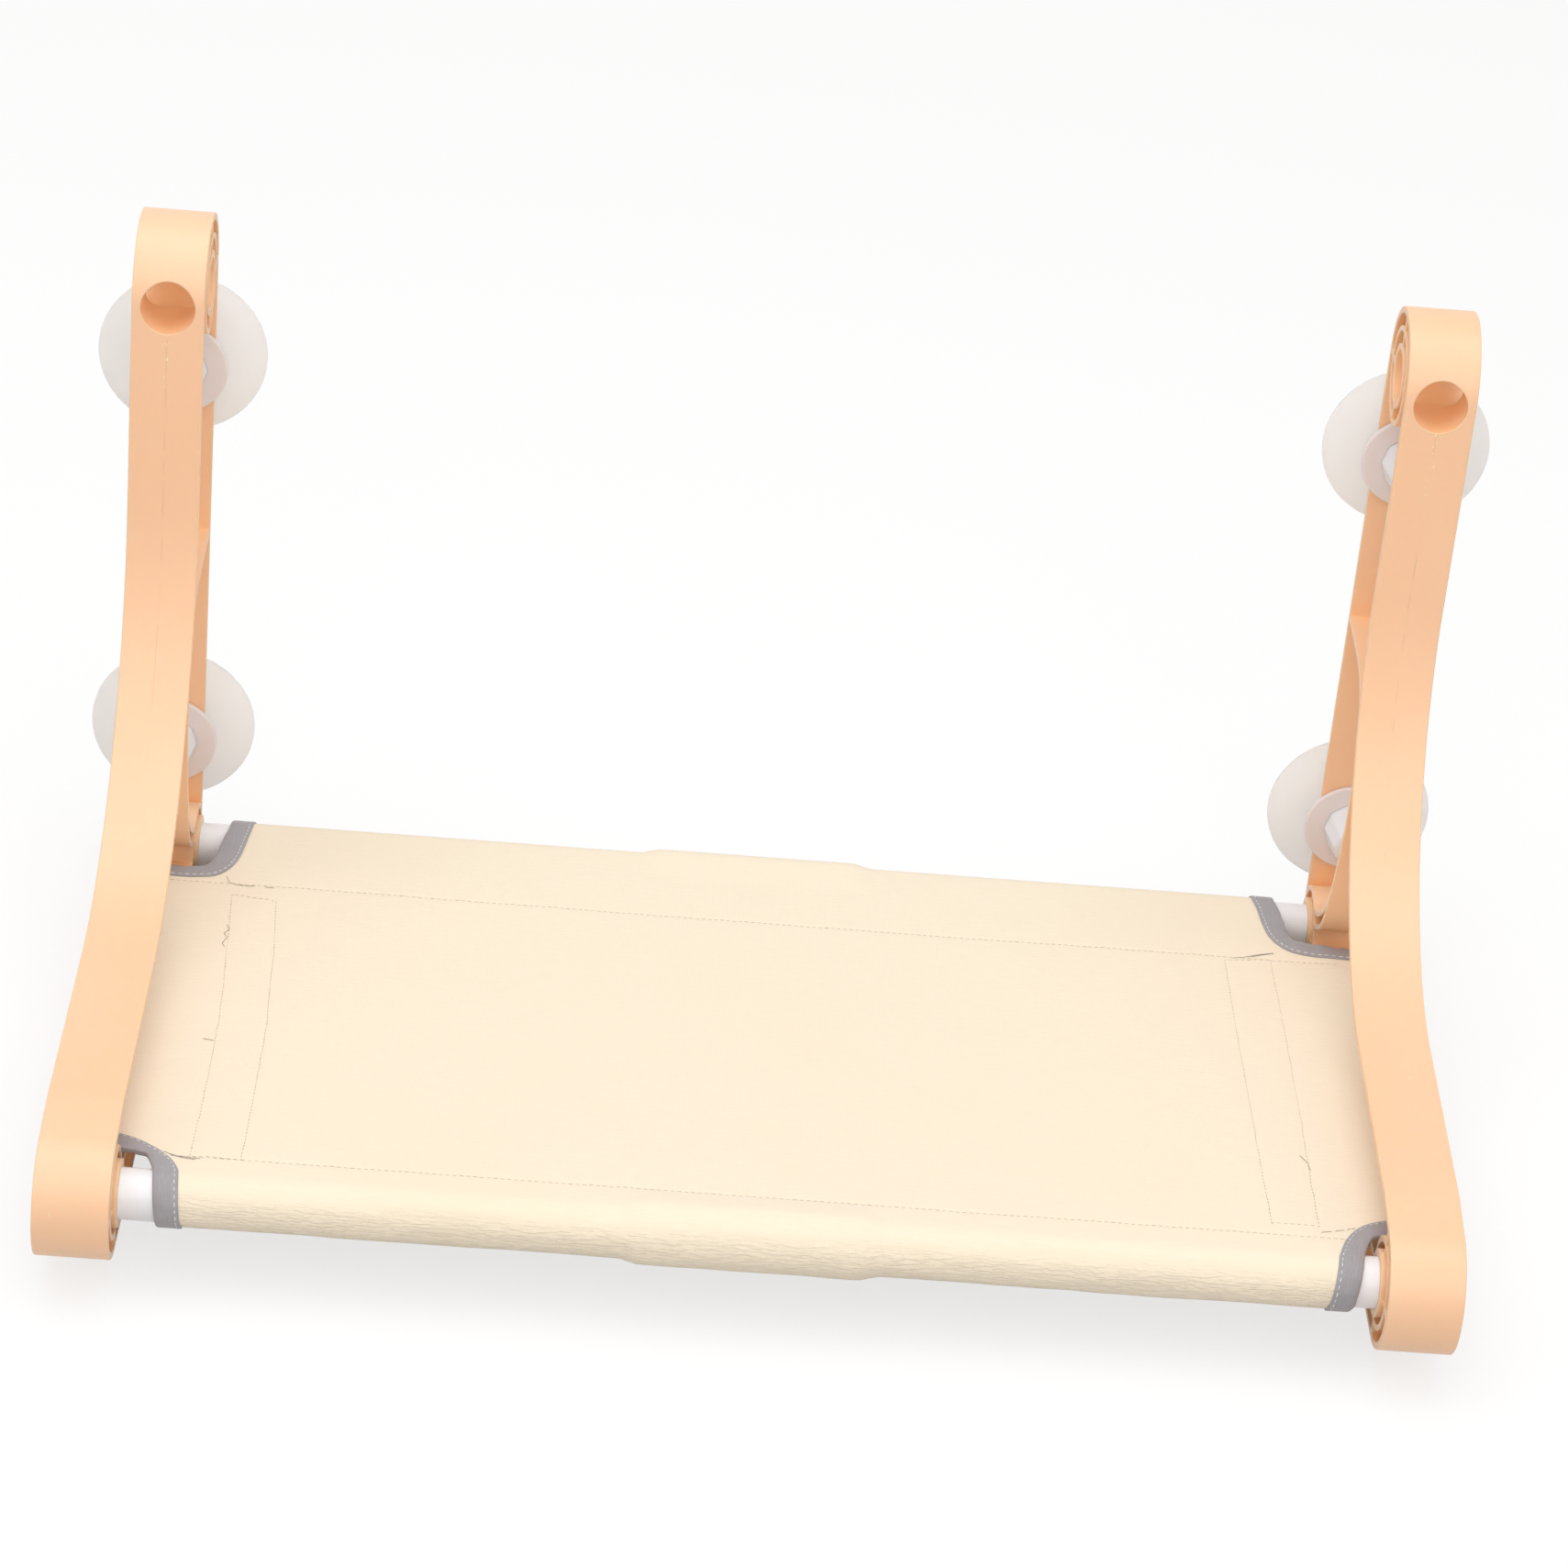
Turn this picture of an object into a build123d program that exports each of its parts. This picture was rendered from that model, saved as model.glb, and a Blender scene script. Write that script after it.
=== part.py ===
from build123d import *
import os
from math import acos, atan2, degrees, sqrt

# Window perch: two ribbed side frames joined by two coupled tubes that carry a canvas sling,
# held on the glass by four suction cups. X runs along the window, the glass is the
# plane y = 0 with the room on its negative side, Z is up, and the origin is the
# middle of the four cups on the glass.

# Overall sizes
frames_span = 540.0
frame_width = 29.0
cup_rise = 176.0
glass_to_frame = 11.5

# Side frame moulding, seen from the side
wall = 2.8
leg_depth = 57.0
front_reach = 312.0
front_tube_drop = 24.0
rear_tube_drop = 19.2
top_bore_rise = 50.0
front_end_radius = 25.5
rear_end_radius = 18.5
shelf_rise = 28.5
brow_reach = 22.0
elbow_radius = 130.0
edge_break = 0.5

# Rings and ribs inside the moulding
ring_wall = 2.2
top_ring_radius = 20.6
front_ring_radius = 18.2
web_wall = 2.0
arch_rise = 101.0
arch_flat = 37.0
arch_drop = 38.0
waist_reach = 66.0
waist_rise = 50.0
heel_reach = 51.5
heel_rise = 21.0
hook_reach = 45.0
hook_rise = 23.0
finger_hole_radius = 11.0
finger_hole_wall = 2.0

# Tubes and their sockets
tube_radius = 10.0
tube_wall = 1.8
tube_edge_break = 0.4
tube_fit = 0.15
tube_end_gap = 0.3
coupling_length = 82.0
coupling_wall = 1.8
coupling_fit = 0.1
coupling_stop = 2.0
socket_wall = 3.0
socket_stand = 1.5
socket_stop = 2.5
stop_lip = 2.2
top_bore_radius = 10.8
top_bore_wall = 2.6

# Suction cups and their studs
cup_radius = 35.0
cup_rim_land = 3.0
cup_rim_thickness = 1.0
cup_hollow_depth = 3.6
cup_bulge = 0.8
cup_neck_radius = 11.0
cup_neck_length = 2.6
cup_shoulder_radius = 17.0
cup_shoulder_height = 6.4
stud_radius = 4.0
stud_head_radius = 8.0
stud_head_thickness = 2.0
stud_head_cover = 2.4
stud_thread_length = 9.5
stud_hole_clearance = 0.3
stud_tip_chamfer = 0.8
thread_clearance = 0.06
moulded_clearance = 0.04
face_clearance = 0.1

# Clamping discs and hand nuts
washer_radius = 20.0
washer_thickness = 2.4
washer_edge_round = 0.9
nut_base_radius = 12.0
nut_nose_radius = 9.2
nut_length = 17.0
nut_nose_wall = 2.0
nut_nose_chamfer = 1.4

# Sling, its tape and its strips
cloth = 1.0
panel_thickness = 1.5
sleeve_slack = 0.25
seam_half_thickness = 1.5
sling_tuck = 16.0
front_corner_width = 29.0
front_corner_depth = 17.5
front_corner_radius = 10.0
rear_corner_width = 28.5
rear_corner_depth = 42.0
rear_corner_radius = 14.0
front_seam = 14.0
rear_seam = 56.0
binding_width = 9.5
binding_thickness = 0.8
cloth_gap = 0.06
strip_width = 25.0
strip_inset = 37.0
strip_thickness = 1.0
strip_end_gap = 4.0

# Counts, angles and shares
nut_sides = 10
full_turn = 360.0
quarter_turn = 90.0
top_web_turns = (0.0, 90.0)
rear_web_turns = (0.0, 90.0, 270.0)
front_web_turns = (90.0, 180.0, 270.0)
arch_foot_turn = 148.0
hook_foot_turn = 110.0
brace_shares = (0.33, 0.62)

# One overrun serves all cuts
overrun = 4.0

# Places worked out from the sizes above
outer_x = frames_span / 2
inner_x = outer_x - frame_width
cup_x = outer_x - frame_width / 2
back_y = -glass_to_frame
front_y = back_y - leg_depth
leg_face_y = back_y - wall
upper_cup_z = cup_rise / 2
lower_cup_z = -cup_rise / 2
front_tube = Vector(back_y - front_reach, lower_cup_z - front_tube_drop)
rear_tube = Vector(back_y - rear_end_radius, front_tube.Y - rear_tube_drop)
top_bore = Vector(back_y - leg_depth / 2, upper_cup_z + top_bore_rise)
shelf_z = front_tube.Y + shelf_rise
socket_bore = tube_radius + tube_fit
socket_radius = socket_bore + socket_wall

os.makedirs("parts", exist_ok=True)


def write(part, name):
    """Label one finished piece and write it to its own STEP file."""
    part.label = name
    export_step(part, f"parts/{name}.step")


def around(centre, radius, turn):
    """Point of a side view, at a turn in degrees from the glass side upwards."""
    return centre + Vector(radius, 0).rotate(Axis.Z, turn)


def belt(*circles):
    """Face inside a belt pulled tight round circles, given counterclockwise as (centre, radius)."""
    turns = []
    for (start, radius), (end, next_radius) in zip(circles, circles[1:] + circles[:1]):
        run = end - start
        turns.append(degrees(atan2(run.Y, run.X) - acos((radius - next_radius) / run.length)))
    with BuildSketch() as tight:
        with BuildLine():
            for index, (centre, radius) in enumerate(circles):
                arrive, leave = turns[index - 1], turns[index]
                CenterArc(centre, radius, arrive, (leave - arrive) % full_turn)
                next_centre, next_radius = circles[(index + 1) % len(circles)]
                Line(around(centre, radius, leave), around(next_centre, next_radius, leave))
        make_face()
    return tight.sketch


# Outline of a side frame: a belt round both tube ends and the shelf, the leg and its round top
brow = Vector(front_tube.X + brow_reach, shelf_z - front_end_radius)
knee = Vector(front_y + wall, shelf_z - wall)
with BuildSketch() as outline:
    add(belt((front_tube, front_end_radius), (rear_tube, rear_end_radius), (knee, wall), (brow, front_end_radius)))
    with Locations((top_bore + Vector(top_bore.X, rear_tube.Y)) / 2):
        Rectangle(leg_depth, top_bore.Y - rear_tube.Y)
    with Locations(top_bore):
        Circle(leg_depth / 2)
    elbow = outline.vertices().sort_by_distance((front_y, shelf_z))[0]
    fillet(elbow, elbow_radius)
with BuildSketch() as shell:
    add(outline.sketch)
    offset(amount=-wall, mode=Mode.SUBTRACT)

# The arch rib leaves the back strip, follows the front one down and lands on the rear ring
arch_z = lower_cup_z + arch_rise
crown_z = arch_z - arch_drop
elbow_rise = elbow_radius - (crown_z - shelf_z)
crown = Vector(front_y - elbow_radius + sqrt(elbow_radius**2 - elbow_rise**2) + wall, crown_z)
waist = Vector(back_y - waist_reach, rear_tube.Y + waist_rise)
heel = Vector(back_y - heel_reach, rear_tube.Y + heel_rise)
hook = Vector(back_y - hook_reach, rear_tube.Y + hook_rise)
rear_ring_line = rear_end_radius - ring_wall / 2
with BuildSketch() as ribs:
    for centre, radius in ((top_bore, top_ring_radius), (front_tube, front_ring_radius), (rear_tube, rear_end_radius)):
        with Locations(centre):
            Circle(radius)
            Circle(radius - ring_wall, mode=Mode.SUBTRACT)
    with BuildLine():
        arch_top = Line((leg_face_y, arch_z), (back_y - arch_flat, arch_z))
        arch_bend = TangentArc(arch_top @ 1, crown, tangent=arch_top % 1)
        arch_back = TangentArc(crown, waist, tangent=arch_bend % 1)
        arch_foot = around(rear_tube, rear_ring_line, arch_foot_turn)
        Spline(waist, heel, arch_foot, tangents=(arch_back % 1, (rear_tube - arch_foot).normalized()))
    trace(line_width=ring_wall)
    with BuildLine():
        hook_foot = around(rear_tube, rear_ring_line, hook_foot_turn)
        hook_start = Vector(1, 0).rotate(Axis.Z, hook_foot_turn + quarter_turn)
        Spline(hook_foot, hook, waist, tangents=(hook_start, -(arch_back % 1)))
    trace(line_width=ring_wall)
    with BuildLine():
        spine = Line(front_tube, rear_tube)
        for share in brace_shares:
            Line(spine @ share, spine @ share - Vector(0, front_end_radius))
        for turn in front_web_turns:
            Line(front_tube, around(front_tube, front_end_radius, turn))
        for turn in rear_web_turns:
            Line(rear_tube, around(rear_tube, rear_end_radius, turn))
        for turn in top_web_turns:
            Line(top_bore, around(top_bore, leg_depth / 2, turn))
        Line(top_bore, around(top_bore, top_ring_radius, -quarter_turn))
    trace(line_width=web_wall)
    add(outline.sketch, mode=Mode.INTERSECT)

# Right side frame: finger hole tube, shell and ribs, then collars, bores and stud holes
front_view = Plane.XZ.offset(-top_bore.X)
with BuildPart() as right_side_frame:
    with BuildSketch(front_view):
        with Locations((cup_x, top_bore.Y)):
            Circle(finger_hole_radius + finger_hole_wall)
    extrude(amount=leg_depth / 2)
    with BuildSketch(Plane.YZ.offset(inner_x)):
        add(outline.sketch)
    extrude(amount=frame_width, mode=Mode.INTERSECT)
    with BuildSketch(Plane.YZ.offset(inner_x)):
        add(shell.sketch)
        add(ribs.sketch)
        with Locations(top_bore):
            Circle(top_bore_radius + top_bore_wall)
    extrude(amount=frame_width)
    rim = right_side_frame.faces().sort_by(Axis.X)[-1].outer_wire().edges()
    fillet(rim, edge_break)
    rim = right_side_frame.faces().sort_by(Axis.X)[0].outer_wire().edges()
    fillet(rim, edge_break)
    with BuildSketch(Plane.YZ.offset(inner_x - socket_stand)):
        with Locations(front_tube, rear_tube):
            Circle(socket_radius)
    extrude(amount=frame_width + socket_stand)
    with BuildSketch(Plane.YZ.offset(inner_x - socket_stand)):
        with Locations(front_tube, rear_tube):
            Circle(socket_bore)
    extrude(amount=frame_width + socket_stand - socket_stop, mode=Mode.SUBTRACT)
    with BuildSketch(Plane.YZ.offset(outer_x + overrun)):
        with Locations(front_tube, rear_tube):
            Circle(socket_bore - stop_lip)
        with Locations(top_bore):
            Circle(top_bore_radius)
    extrude(amount=-frame_width - overrun - overrun, mode=Mode.SUBTRACT)
    with BuildSketch(front_view):
        with Locations((cup_x, top_bore.Y)):
            Circle(finger_hole_radius)
    extrude(amount=leg_depth / 2 + overrun, mode=Mode.SUBTRACT)
    with BuildSketch(Plane.XZ.offset(-back_y - overrun - wall)):
        with Locations((cup_x, upper_cup_z), (cup_x, lower_cup_z)):
            Circle(stud_radius + stud_hole_clearance)
    extrude(amount=wall + overrun + overrun, mode=Mode.SUBTRACT)
with BuildPart() as left_side_frame:
    mirror(right_side_frame.part, about=Plane.YZ)
write(right_side_frame.part, "right_side_frame")
write(left_side_frame.part, "left_side_frame")

# Each pipe is two tubes, pushed home in a coupling and against the stop lip of a frame
side_names = {-1: "left", 1: "right"}
tube_end = outer_x - socket_stop - tube_end_gap
tube_start = coupling_stop / 2 + tube_end_gap
coupling_radius = tube_radius + coupling_fit + coupling_wall
for row, centre in (("front", front_tube), ("rear", rear_tube)):
    for side in (-1, 1):
        with BuildPart() as tube:
            with BuildSketch(Plane.YZ.offset(side * tube_start)):
                with Locations(centre):
                    Circle(tube_radius)
                    Circle(tube_radius - tube_wall, mode=Mode.SUBTRACT)
            extrude(amount=side * (tube_end - tube_start))
            chamfer(tube.edges().filter_by(GeomType.CIRCLE), tube_edge_break)
        write(tube.part, f"{row}_{side_names[side]}_tube")

    with BuildPart() as coupling:
        with BuildSketch(Plane.YZ):
            with Locations(centre):
                Circle(coupling_radius)
                Circle(tube_radius - tube_wall, mode=Mode.SUBTRACT)
        extrude(amount=coupling_length / 2, both=True)
        for side in (-1, 1):
            with BuildSketch(Plane.YZ.offset(side * coupling_stop / 2)):
                with Locations(centre):
                    Circle(tube_radius + coupling_fit)
            extrude(amount=side * coupling_length / 2, mode=Mode.SUBTRACT)
        chamfer(coupling.edges().filter_by(GeomType.CIRCLE).group_by(SortBy.RADIUS)[-1], tube_edge_break)
    write(coupling.part, f"{row}_tube_coupling")

# Each cup, stud, disc and nut is turned or lofted about its own axis out of the glass
neck_y = back_y + cup_neck_length
head_y = -cup_hollow_depth - stud_head_cover
washer_y = leg_face_y - face_clearance
nut_y = washer_y - washer_thickness - face_clearance
stud_tip_y = nut_y - stud_thread_length


def stud_points(grow):
    """Half section of a stud, as radii and depths, its faces moved outwards by grow."""
    return (
        (0, head_y + grow),
        (stud_head_radius + grow, head_y + grow),
        (stud_head_radius + grow, head_y - stud_head_thickness - grow),
        (stud_radius + grow, head_y - stud_head_thickness - grow),
        (stud_radius + grow, stud_tip_y + stud_tip_chamfer),
        (stud_radius - stud_tip_chamfer, stud_tip_y),
        (0, stud_tip_y),
    )


for row, cup_z in (("upper", upper_cup_z), ("lower", lower_cup_z)):
    for side, x in (("left", -cup_x), ("right", cup_x)):
        half_section = Plane((x, 0, cup_z), x_dir=(1, 0, 0), z_dir=(0, 0, 1))
        axle = Axis((x, 0, cup_z), (0, 1, 0))
        with BuildPart() as stud:
            with BuildSketch(half_section):
                with BuildLine():
                    Polyline(*stud_points(0), close=True)
                make_face()
            revolve(axis=axle)
        write(stud.part, f"{row}_{side}_cup_stud")

        with BuildPart() as cup:
            with BuildSketch(half_section):
                with BuildLine():
                    hollow_edge = (cup_radius - cup_rim_land, 0)
                    TangentArc((0, -cup_hollow_depth), hollow_edge, tangent=(1, 0))
                    rim = Polyline(hollow_edge, (cup_radius, 0), (cup_radius, -cup_rim_thickness))
                    dome = SagittaArc(rim @ 1, (cup_shoulder_radius, -cup_shoulder_height), cup_bulge)
                    Polyline(dome @ 1, (cup_neck_radius, neck_y), (cup_neck_radius, back_y), (0, back_y))
                    Line((0, back_y), (0, -cup_hollow_depth))
                make_face()
            revolve(axis=axle)
            with BuildSketch(half_section):
                with BuildLine():
                    Polyline(*stud_points(moulded_clearance), close=True)
                make_face()
            revolve(axis=axle, mode=Mode.SUBTRACT)
        write(cup.part, f"{row}_{side}_suction_cup")

        with BuildPart() as washer:
            with BuildSketch(Plane((x, washer_y, cup_z), x_dir=(1, 0, 0), z_dir=(0, -1, 0))):
                Circle(washer_radius)
                Circle(stud_radius + stud_hole_clearance, mode=Mode.SUBTRACT)
            extrude(amount=washer_thickness)
            fillet(washer.edges().filter_by(GeomType.CIRCLE).sort_by(SortBy.RADIUS)[-2:], washer_edge_round)
        write(washer.part, f"{row}_{side}_clamp_washer")

        nut_base = Plane((x, nut_y, cup_z), x_dir=(1, 0, 0), z_dir=(0, -1, 0))
        with BuildPart() as nut:
            with BuildSketch(nut_base):
                RegularPolygon(nut_base_radius, nut_sides)
            with BuildSketch(nut_base.offset(nut_length)):
                RegularPolygon(nut_nose_radius, nut_sides)
            loft()
            chamfer(nut.faces().sort_by(Axis.Y)[0].edges(), nut_nose_chamfer)
            with BuildSketch(nut_base):
                Circle(stud_radius + thread_clearance)
            extrude(amount=nut_length - nut_nose_wall, mode=Mode.SUBTRACT)
        write(nut.part, f"{row}_{side}_knob_nut")

# Sling frame of reference: from the front tube's axis towards the rear tube's, and up from both
tube_span = (rear_tube - front_tube).length
sling_start = (0, front_tube.X, front_tube.Y)
sling_run = (0, rear_tube.X - front_tube.X, rear_tube.Y - front_tube.Y)
sling_side = Plane(sling_start, x_dir=sling_run, z_dir=(1, 0, 0))
sling_plan = Plane(sling_start, x_dir=(1, 0, 0), z_dir=sling_side.y_dir)
sleeve_bore = tube_radius + sleeve_slack
sleeve_top = sleeve_bore + cloth
bulge_bore = coupling_radius + sleeve_slack
bulge_half_length = coupling_length / 2 + sleeve_slack
seam_height = sleeve_top - seam_half_thickness
sling_half_width = inner_x + sling_tuck
corner_cuts = {
    "front": (0, 1, front_corner_width, front_corner_depth, front_corner_radius),
    "rear": (tube_span, -1, rear_corner_width, rear_corner_depth, rear_corner_radius),
}


def sleeves(radius, seam_radius):
    """Section of both sewn sleeves, each a belt round its tube and its seam."""
    with BuildSketch() as pair:
        add(belt((Vector(0, 0), radius), (Vector(front_seam, seam_height), seam_radius)))
        add(belt((Vector(tube_span, 0), radius), (Vector(tube_span - rear_seam, seam_height), seam_radius)))
    return pair.sketch


def sling_section(grow):
    """Section of the sling without its sleeves' hollows, its faces moved outwards by grow."""
    panel_length = tube_span - front_seam - rear_seam
    with BuildSketch() as section:
        add(sleeves(sleeve_top + grow, seam_half_thickness + grow))
        with Locations((front_seam + panel_length / 2, sleeve_top - panel_thickness / 2)):
            Rectangle(panel_length, panel_thickness + grow + grow)
    return section.sketch


def corner(side, row, grow):
    """Plan of one corner's cut-out with its inner corner rounded, its edges moved by grow."""
    tube_place, toward, corner_width, corner_depth, corner_radius = corner_cuts[row]
    half_width = sling_half_width - corner_width
    width = sling_half_width + overrun - half_width + grow
    depth = sleeve_top + overrun + corner_depth + grow
    inner = (side * (half_width - grow), tube_place + toward * (corner_depth + grow))
    with BuildSketch() as cut:
        with Locations((inner[0] + side * width / 2, inner[1] - toward * depth / 2)):
            Rectangle(width, depth)
        fillet(cut.vertices().sort_by_distance(inner)[0], corner_radius + grow)
    return cut.sketch


corners = [(side, row) for side in (-1, 1) for row in ("front", "rear")]
with BuildPart() as sling:
    with BuildSketch(sling_side):
        add(sling_section(0))
    extrude(amount=sling_half_width, both=True)
    with BuildSketch(sling_side):
        add(sleeves(bulge_bore + cloth, seam_half_thickness))
    extrude(amount=bulge_half_length + cloth, both=True)
    for bore, half_length in ((sleeve_bore, sling_half_width), (bulge_bore, bulge_half_length)):
        with BuildSketch(sling_side):
            add(sleeves(bore, seam_half_thickness - cloth))
        extrude(amount=half_length, both=True, mode=Mode.SUBTRACT)
    with BuildSketch(sling_plan):
        for side, row in corners:
            add(corner(side, row, 0))
    extrude(amount=sleeve_top + overrun, both=True, mode=Mode.SUBTRACT)
write(sling.part, "sling")

# Space that the tape leaves for the cloth that it is folded round
with BuildPart() as cloth_space:
    with BuildSketch(sling_side):
        add(sling_section(cloth_gap))
    extrude(amount=sling_half_width + overrun, both=True)
    with BuildSketch(sling_plan):
        for side, row in corners:
            add(corner(side, row, -cloth_gap))
    extrude(amount=sleeve_top + overrun, both=True, mode=Mode.SUBTRACT)

tape_reach = cloth_gap + binding_thickness
for side, row in corners:
    with BuildPart() as binding:
        with BuildSketch(sling_side):
            add(sling_section(tape_reach))
            add(sleeves(sleeve_bore, seam_half_thickness - cloth), mode=Mode.SUBTRACT)
        extrude(amount=side * sling_half_width)
        with BuildSketch(sling_plan):
            add(corner(side, row, binding_width))
            add(corner(side, row, -tape_reach), mode=Mode.SUBTRACT)
        extrude(amount=sleeve_top + overrun, both=True, mode=Mode.INTERSECT)
        add(cloth_space.part, mode=Mode.SUBTRACT)
    write(binding.part, f"{row}_{side_names[side]}_corner_binding")

# Strips sewn under the panel between its seams, cut back round the front corners' tape
strip_length = tube_span - front_seam - rear_seam - strip_end_gap - strip_end_gap
strip_plane = sling_plan.offset(sleeve_top - panel_thickness - cloth_gap)
strip_x = sling_half_width - strip_inset - strip_width / 2
for side in (-1, 1):
    with BuildPart() as strip:
        with BuildSketch(strip_plane):
            with Locations((side * strip_x, front_seam + strip_end_gap + strip_length / 2)):
                Rectangle(strip_width, strip_length)
            add(corner(side, "front", binding_width + cloth_gap), mode=Mode.SUBTRACT)
        extrude(amount=-strip_thickness)
    write(strip.part, f"{side_names[side]}_reinforcing_strip")
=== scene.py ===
import logging
import math
from dataclasses import dataclass, field
from enum import Enum
from functools import reduce

import bmesh
import bpy
from mathutils import Matrix, Vector, noise
from mathutils.geometry import delaunay_2d_cdt


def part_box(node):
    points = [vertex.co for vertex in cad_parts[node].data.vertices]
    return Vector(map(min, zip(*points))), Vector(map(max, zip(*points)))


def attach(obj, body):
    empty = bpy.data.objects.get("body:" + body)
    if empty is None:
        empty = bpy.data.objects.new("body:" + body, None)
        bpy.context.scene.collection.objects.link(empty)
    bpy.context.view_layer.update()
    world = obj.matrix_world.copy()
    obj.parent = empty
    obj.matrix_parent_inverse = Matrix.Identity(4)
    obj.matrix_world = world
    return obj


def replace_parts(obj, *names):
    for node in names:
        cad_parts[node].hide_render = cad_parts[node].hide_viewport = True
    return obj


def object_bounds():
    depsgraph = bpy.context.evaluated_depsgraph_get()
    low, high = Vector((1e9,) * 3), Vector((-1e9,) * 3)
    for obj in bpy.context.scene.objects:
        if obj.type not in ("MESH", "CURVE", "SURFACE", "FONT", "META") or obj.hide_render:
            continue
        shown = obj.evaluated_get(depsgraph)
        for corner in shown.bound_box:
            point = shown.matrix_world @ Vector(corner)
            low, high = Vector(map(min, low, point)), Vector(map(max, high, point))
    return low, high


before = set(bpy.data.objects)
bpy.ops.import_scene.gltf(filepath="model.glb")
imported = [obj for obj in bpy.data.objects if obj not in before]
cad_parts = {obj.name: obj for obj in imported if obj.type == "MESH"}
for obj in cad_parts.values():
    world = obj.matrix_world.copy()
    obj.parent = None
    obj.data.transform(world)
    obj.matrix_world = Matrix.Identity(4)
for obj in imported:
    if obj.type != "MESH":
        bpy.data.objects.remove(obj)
cad_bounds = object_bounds()

# Dresses a window perch: a sling on two coupled pipes between ribbed plastic side frames,
# held by four suction cups. Metres throughout, in the frame of the solids: X along the
# window, the glass at y = 0, Z up.

LOG = logging.getLogger("window_perch")
MM = 0.001
BODY = "perch"

Colour = tuple[float, float, float]
Pair = tuple[float, float]
Quad = tuple[float, float, float, float]
Socket = bpy.types.NodeSocket
Node = bpy.types.Node
Tree = bpy.types.NodeTree
Material = bpy.types.Material
Piece = bpy.types.Object
Value = float | int | Colour | Vector | Socket


class Side(Enum):
    """Which end of the window a piece is at, as the sign of its X."""

    LEFT = -1
    RIGHT = 1


class Row(Enum):
    """Which tube a corner belongs to."""

    FRONT = "front"
    REAR = "rear"


# Node trees


class Nodes:
    """Adds nodes to one tree and joins them."""

    def __init__(self, tree: Tree) -> None:
        """Keeps the tree that the nodes go into."""
        self.tree = tree

    def feed(self, node: Node, inputs: dict[str | int, Value]) -> Node:
        """Sets or links inputs of a node.

        Args:
            node: The node.
            inputs: A value or a socket to link, for each input by name or index.

        Returns:
            The same node.
        """
        for name, value in inputs.items():
            if isinstance(value, Socket):
                self.tree.links.new(value, node.inputs[name])
            else:
                node.inputs[name].default_value = value
        return node

    def add(self, kind: str, inputs: dict[str | int, Value] | None = None, **settings: object) -> Node:
        """Adds one node.

        Args:
            kind: The node's type.
            inputs: A value or a socket to link, for each input by name or index.
            settings: Properties of the node.

        Returns:
            The new node.
        """
        node = self.tree.nodes.new(kind)
        for name, setting in settings.items():
            setattr(node, name, setting)
        return self.feed(node, inputs or {})

    def math(self, operation: str, *values: Value) -> Socket:
        """Adds a Math node on up to three values and returns its result."""
        return self.add("ShaderNodeMath", dict(enumerate(values)), operation=operation).outputs[0]

    def product(self, *values: Value) -> Socket:
        """Returns the product of two or more values."""
        return reduce(lambda first, second: self.math("MULTIPLY", first, second), values)

    def band(self, value: Value, low: float, high: float) -> Socket:
        """Returns a mask that rises smoothly from 0 at low to 1 at high, or falls if low is above high."""
        inputs = {"Value": value, "From Min": low, "From Max": high}
        return self.add("ShaderNodeMapRange", inputs, interpolation_type="SMOOTHSTEP").outputs[0]

    def mix(self, share: Value, first: Value, second: Value) -> Socket:
        """Returns a colour that goes from the first to the second by a share."""
        inputs = {0: share, 6: colour4(first), 7: colour4(second)}
        return self.add("ShaderNodeMix", inputs, data_type="RGBA").outputs[2]

    def noise(self, where: Value, scale: Value, detail: float = 2.0) -> Socket:
        """Returns noise from 0 to 1 at a place."""
        return self.add("ShaderNodeTexNoise", {"Vector": where, "Scale": scale, "Detail": detail}).outputs[0]

    def stretch(self, where: Value, scale: Colour) -> Socket:
        """Returns a place scaled along each axis."""
        return self.add("ShaderNodeMapping", {"Vector": where, "Scale": scale}).outputs[0]

    def bump(self, height: Value, depth: float, normal: Value | None = None) -> Socket:
        """Raises a surface.

        Args:
            height: How high it is, from 0 to 1.
            depth: The height that 1 stands for, in metres.
            normal: The normal to raise, if it isn't the surface's own.

        Returns:
            The raised surface's normal.
        """
        over = {} if normal is None else {"Normal": normal}
        return self.add("ShaderNodeBump", {"Height": height, "Distance": depth, **over}).outputs[0]


def colour4(value: Value) -> Value:
    """Returns a colour with its fourth number, and leaves a socket as it is."""
    return (*value, 1.0) if isinstance(value, tuple) else value


def shader_group(name: str, inputs: dict[str, str], outputs: dict[str, str]) -> tuple[Tree, Nodes]:
    """Makes an empty shader group with named sockets.

    Args:
        name: The group's name.
        inputs: Socket type for each input.
        outputs: Socket type for each output.

    Returns:
        The group and a Nodes for it.
    """
    tree = bpy.data.node_groups.new(name, "ShaderNodeTree")
    for way, sockets in (("INPUT", inputs), ("OUTPUT", outputs)):
        for socket, kind in sockets.items():
            tree.interface.new_socket(socket, in_out=way, socket_type=kind)
    return tree, Nodes(tree)


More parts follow.
